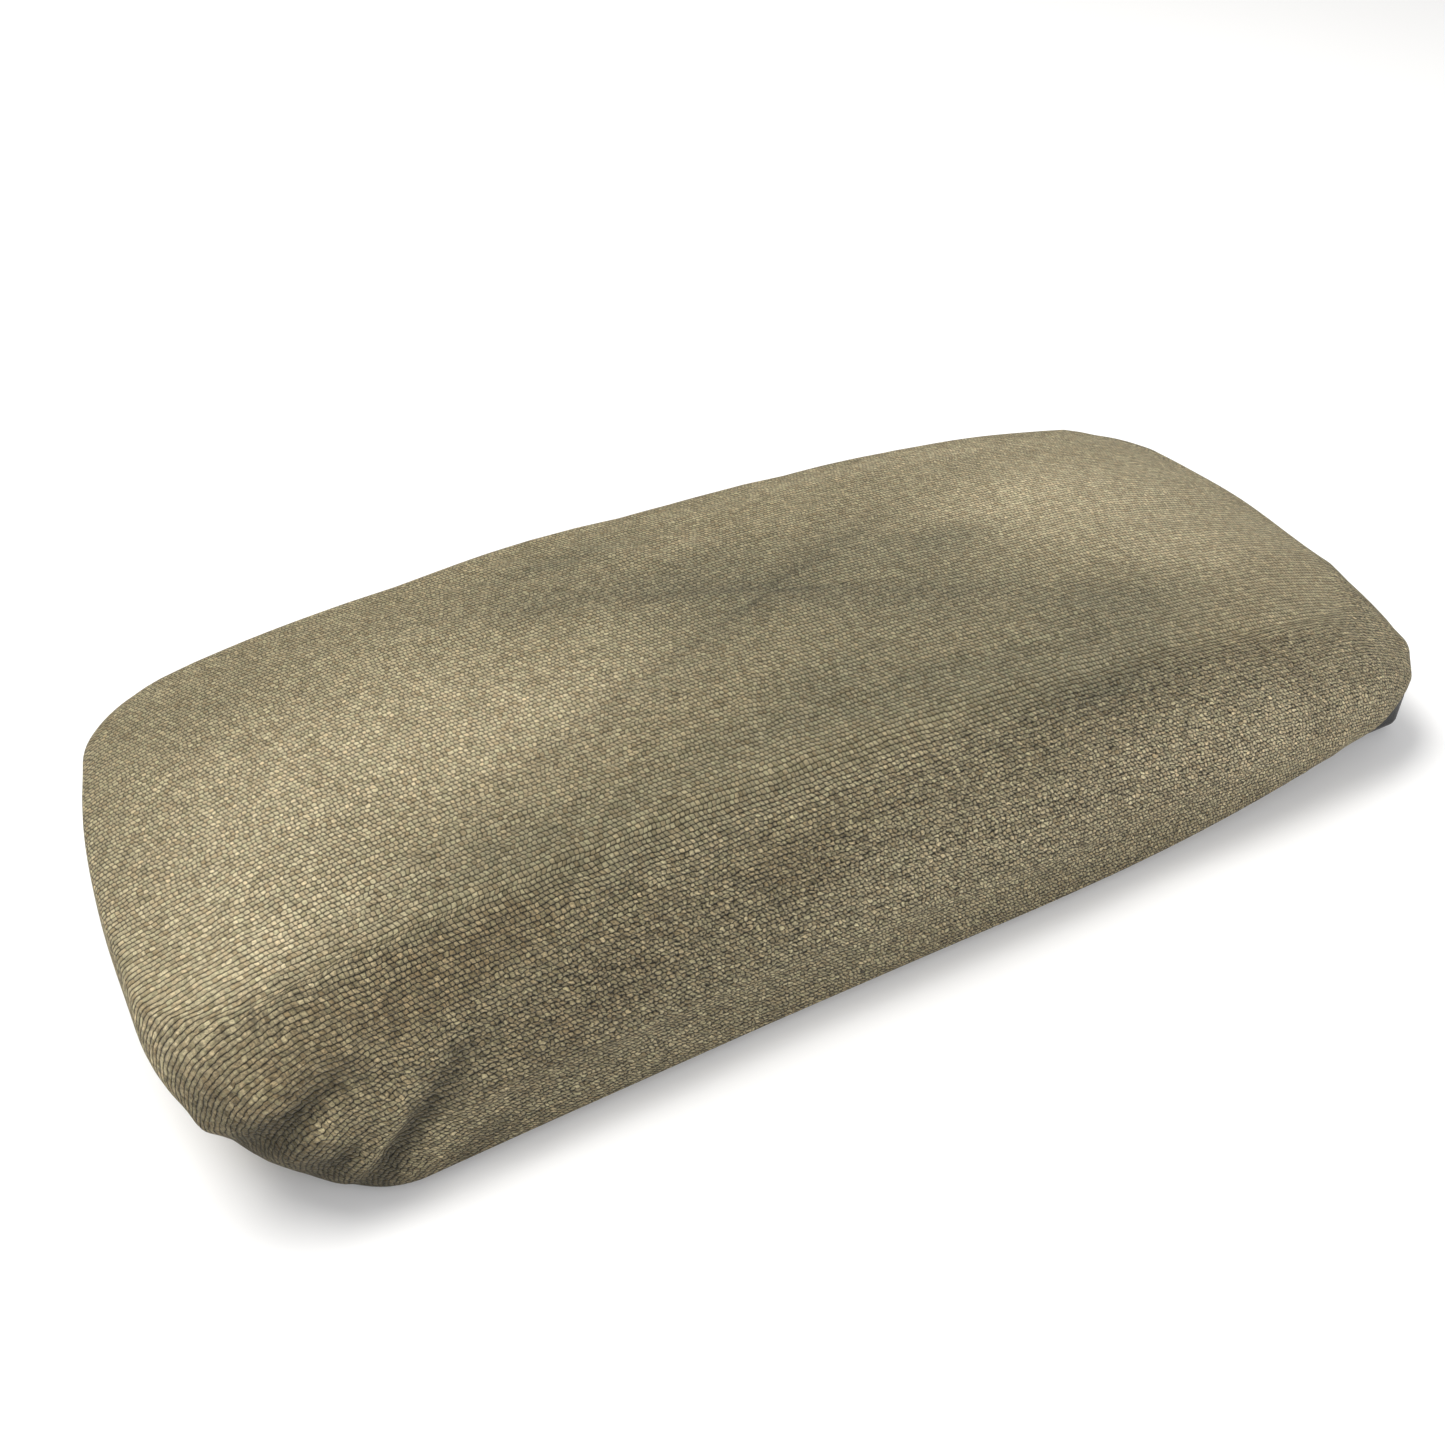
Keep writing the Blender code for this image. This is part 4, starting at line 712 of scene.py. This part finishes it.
def rubber_material():
    m = Maker("stop_rubber")
    place = m.object_place()
    bloom = m.sum("MULTIPLY_ADD", m.noise(place, 160, 5, 0.7), 2.6, -1.0, clamp=True)
    pores = m.noise(place, 3500, 2)
    shade = m.mix(m.sum("MULTIPLY", bloom, 0.5), (0.016, 0.016, 0.015, 1), (0.06, 0.058, 0.052, 1))
    return m.set(Base_Color=shade, Roughness=m.sum("MULTIPLY_ADD", bloom, 0.15, 0.72),
                 Normal=m.bump(pores, 0.00005))


def nylon_material():
    m = Maker("bush_nylon")
    place = m.object_place()
    grease = m.sum("MULTIPLY_ADD", m.noise(place, 260, 4, 0.6), 2.5, -1.0, clamp=True)
    shade = m.mix(m.sum("MULTIPLY", grease, 0.6), (0.66, 0.63, 0.54, 1), (0.36, 0.30, 0.19, 1))
    return m.set(Base_Color=shade, Roughness=m.sum("MULTIPLY_ADD", grease, -0.15, 0.5),
                 Normal=m.bump(m.noise(place, 1800, 2), 0.00003))


MATERIALS = {
    "knit_cloth": knit_material(),
    "foam": foam_material(),
    "pan_plastic": plastic_material("pan_plastic", (0.045, 0.045, 0.044, 1), (0.12, 0.115, 0.10, 1), 0.55),
    "panel_plastic": plastic_material("panel_plastic", (0.011, 0.011, 0.010, 1), (0.05, 0.047, 0.04, 1),
                                      0.42),
    "zinc_steel": metal_material("zinc_steel", (0.60, 0.60, 0.56, 1), (0.22, 0.19, 0.14, 1), 0.30,
                                 (60, 2400, 2400)),
    "spring_steel": metal_material("spring_steel", (0.34, 0.34, 0.35, 1), (0.10, 0.08, 0.06, 1), 0.28,
                                   (2400, 90, 2400)),
    "stop_rubber": rubber_material(),
    "bush_nylon": nylon_material(),
}

for part in frame["record"]["subparts"]:
    node = frame["nodes"][part["node"]]
    if node.material_slots:
        for slot in node.material_slots:
            slot.link = "OBJECT"
            slot.material = MATERIALS[part["material_slot"]]
    else:
        node.data.materials.append(MATERIALS[part["material_slot"]])

cover = make_cover()
cover.data.materials.append(MATERIALS["knit_cloth"])
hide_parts("fabric_cover")
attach(cover, "lid")

foam = add_piece("foam_core", foam_mesh("foam_core", FOAM_INSET_MM))
foam.data.materials.append(MATERIALS["foam"])
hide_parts("foam_pad")
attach(foam, "lid")

# ---------------------------------------------------------------- floor, light and camera

scene = bpy.context.scene
centre = (cad_low + cad_high) / 2
floor_mesh = bpy.data.meshes.new("studio_floor")
reach = 30.0
floor_mesh.from_pydata([(-reach, -reach, 0), (reach, -reach, 0), (reach, reach, 0), (-reach, reach, 0)], [],
                       [(0, 1, 2, 3)])
floor = add_piece("studio_floor", floor_mesh)
floor.location.z = cad_low.z - 0.0002
floor_paint = Maker("studio_floor")
floor.data.materials.append(floor_paint.set(Base_Color=(0.93, 0.93, 0.93, 1), Roughness=0.9))

world = bpy.data.worlds.new("studio")
world.use_nodes = True
world.node_tree.nodes["Background"].inputs[0].default_value = (1, 1, 1, 1)
world.node_tree.nodes["Background"].inputs[1].default_value = 0.46
scene.world = world


def softbox(name, place, size, power, colour=(1, 1, 1)):
    light = bpy.data.lights.new(name, "AREA")
    light.shape = "RECTANGLE"
    light.size, light.size_y = size
    light.energy = power
    light.color = colour
    thing = bpy.data.objects.new(name, light)
    scene.collection.objects.link(thing)
    thing.location = Vector(place)
    thing.rotation_euler = (centre - Vector(place)).to_track_quat("-Z", "Y").to_euler()


softbox("key_softbox", (-0.35, 0.5, 1.3), (0.9, 0.7), 19, (1, 0.985, 0.955))
softbox("fill_softbox", (0.3, -1.1, 0.75), (1.0, 0.8), 8.0, (0.98, 0.98, 1))

CAMERA_TARGET_OFFSET = Vector((-0.002, 0.0, -0.0031))
AZIMUTH, ELEVATION, DISTANCE, ROLL = -26.148, 39.911, 0.3419, -1.2535
LENS_MM, LENS_SHIFT = 34.65, (-0.0301, -0.0179)
target = Vector((0, centre.y, centre.z)) + CAMERA_TARGET_OFFSET
camera = bpy.data.objects.new("camera", bpy.data.cameras.new("camera"))
scene.collection.objects.link(camera)
turn, rise = math.radians(AZIMUTH), math.radians(ELEVATION)
back = Vector((math.sin(turn) * math.cos(rise), -math.cos(turn) * math.cos(rise), math.sin(rise)))
camera.location = target + back * DISTANCE
camera.rotation_mode = "QUATERNION"
camera.rotation_quaternion = (-back).to_track_quat("-Z", "Y") @ Matrix.Rotation(
    math.radians(ROLL), 3, "Z").to_quaternion()
camera.data.lens = LENS_MM
camera.data.sensor_width = 36
camera.data.shift_x, camera.data.shift_y = LENS_SHIFT
camera.data.clip_start = 0.01
scene.camera = camera
scene.view_settings.view_transform = "Standard"
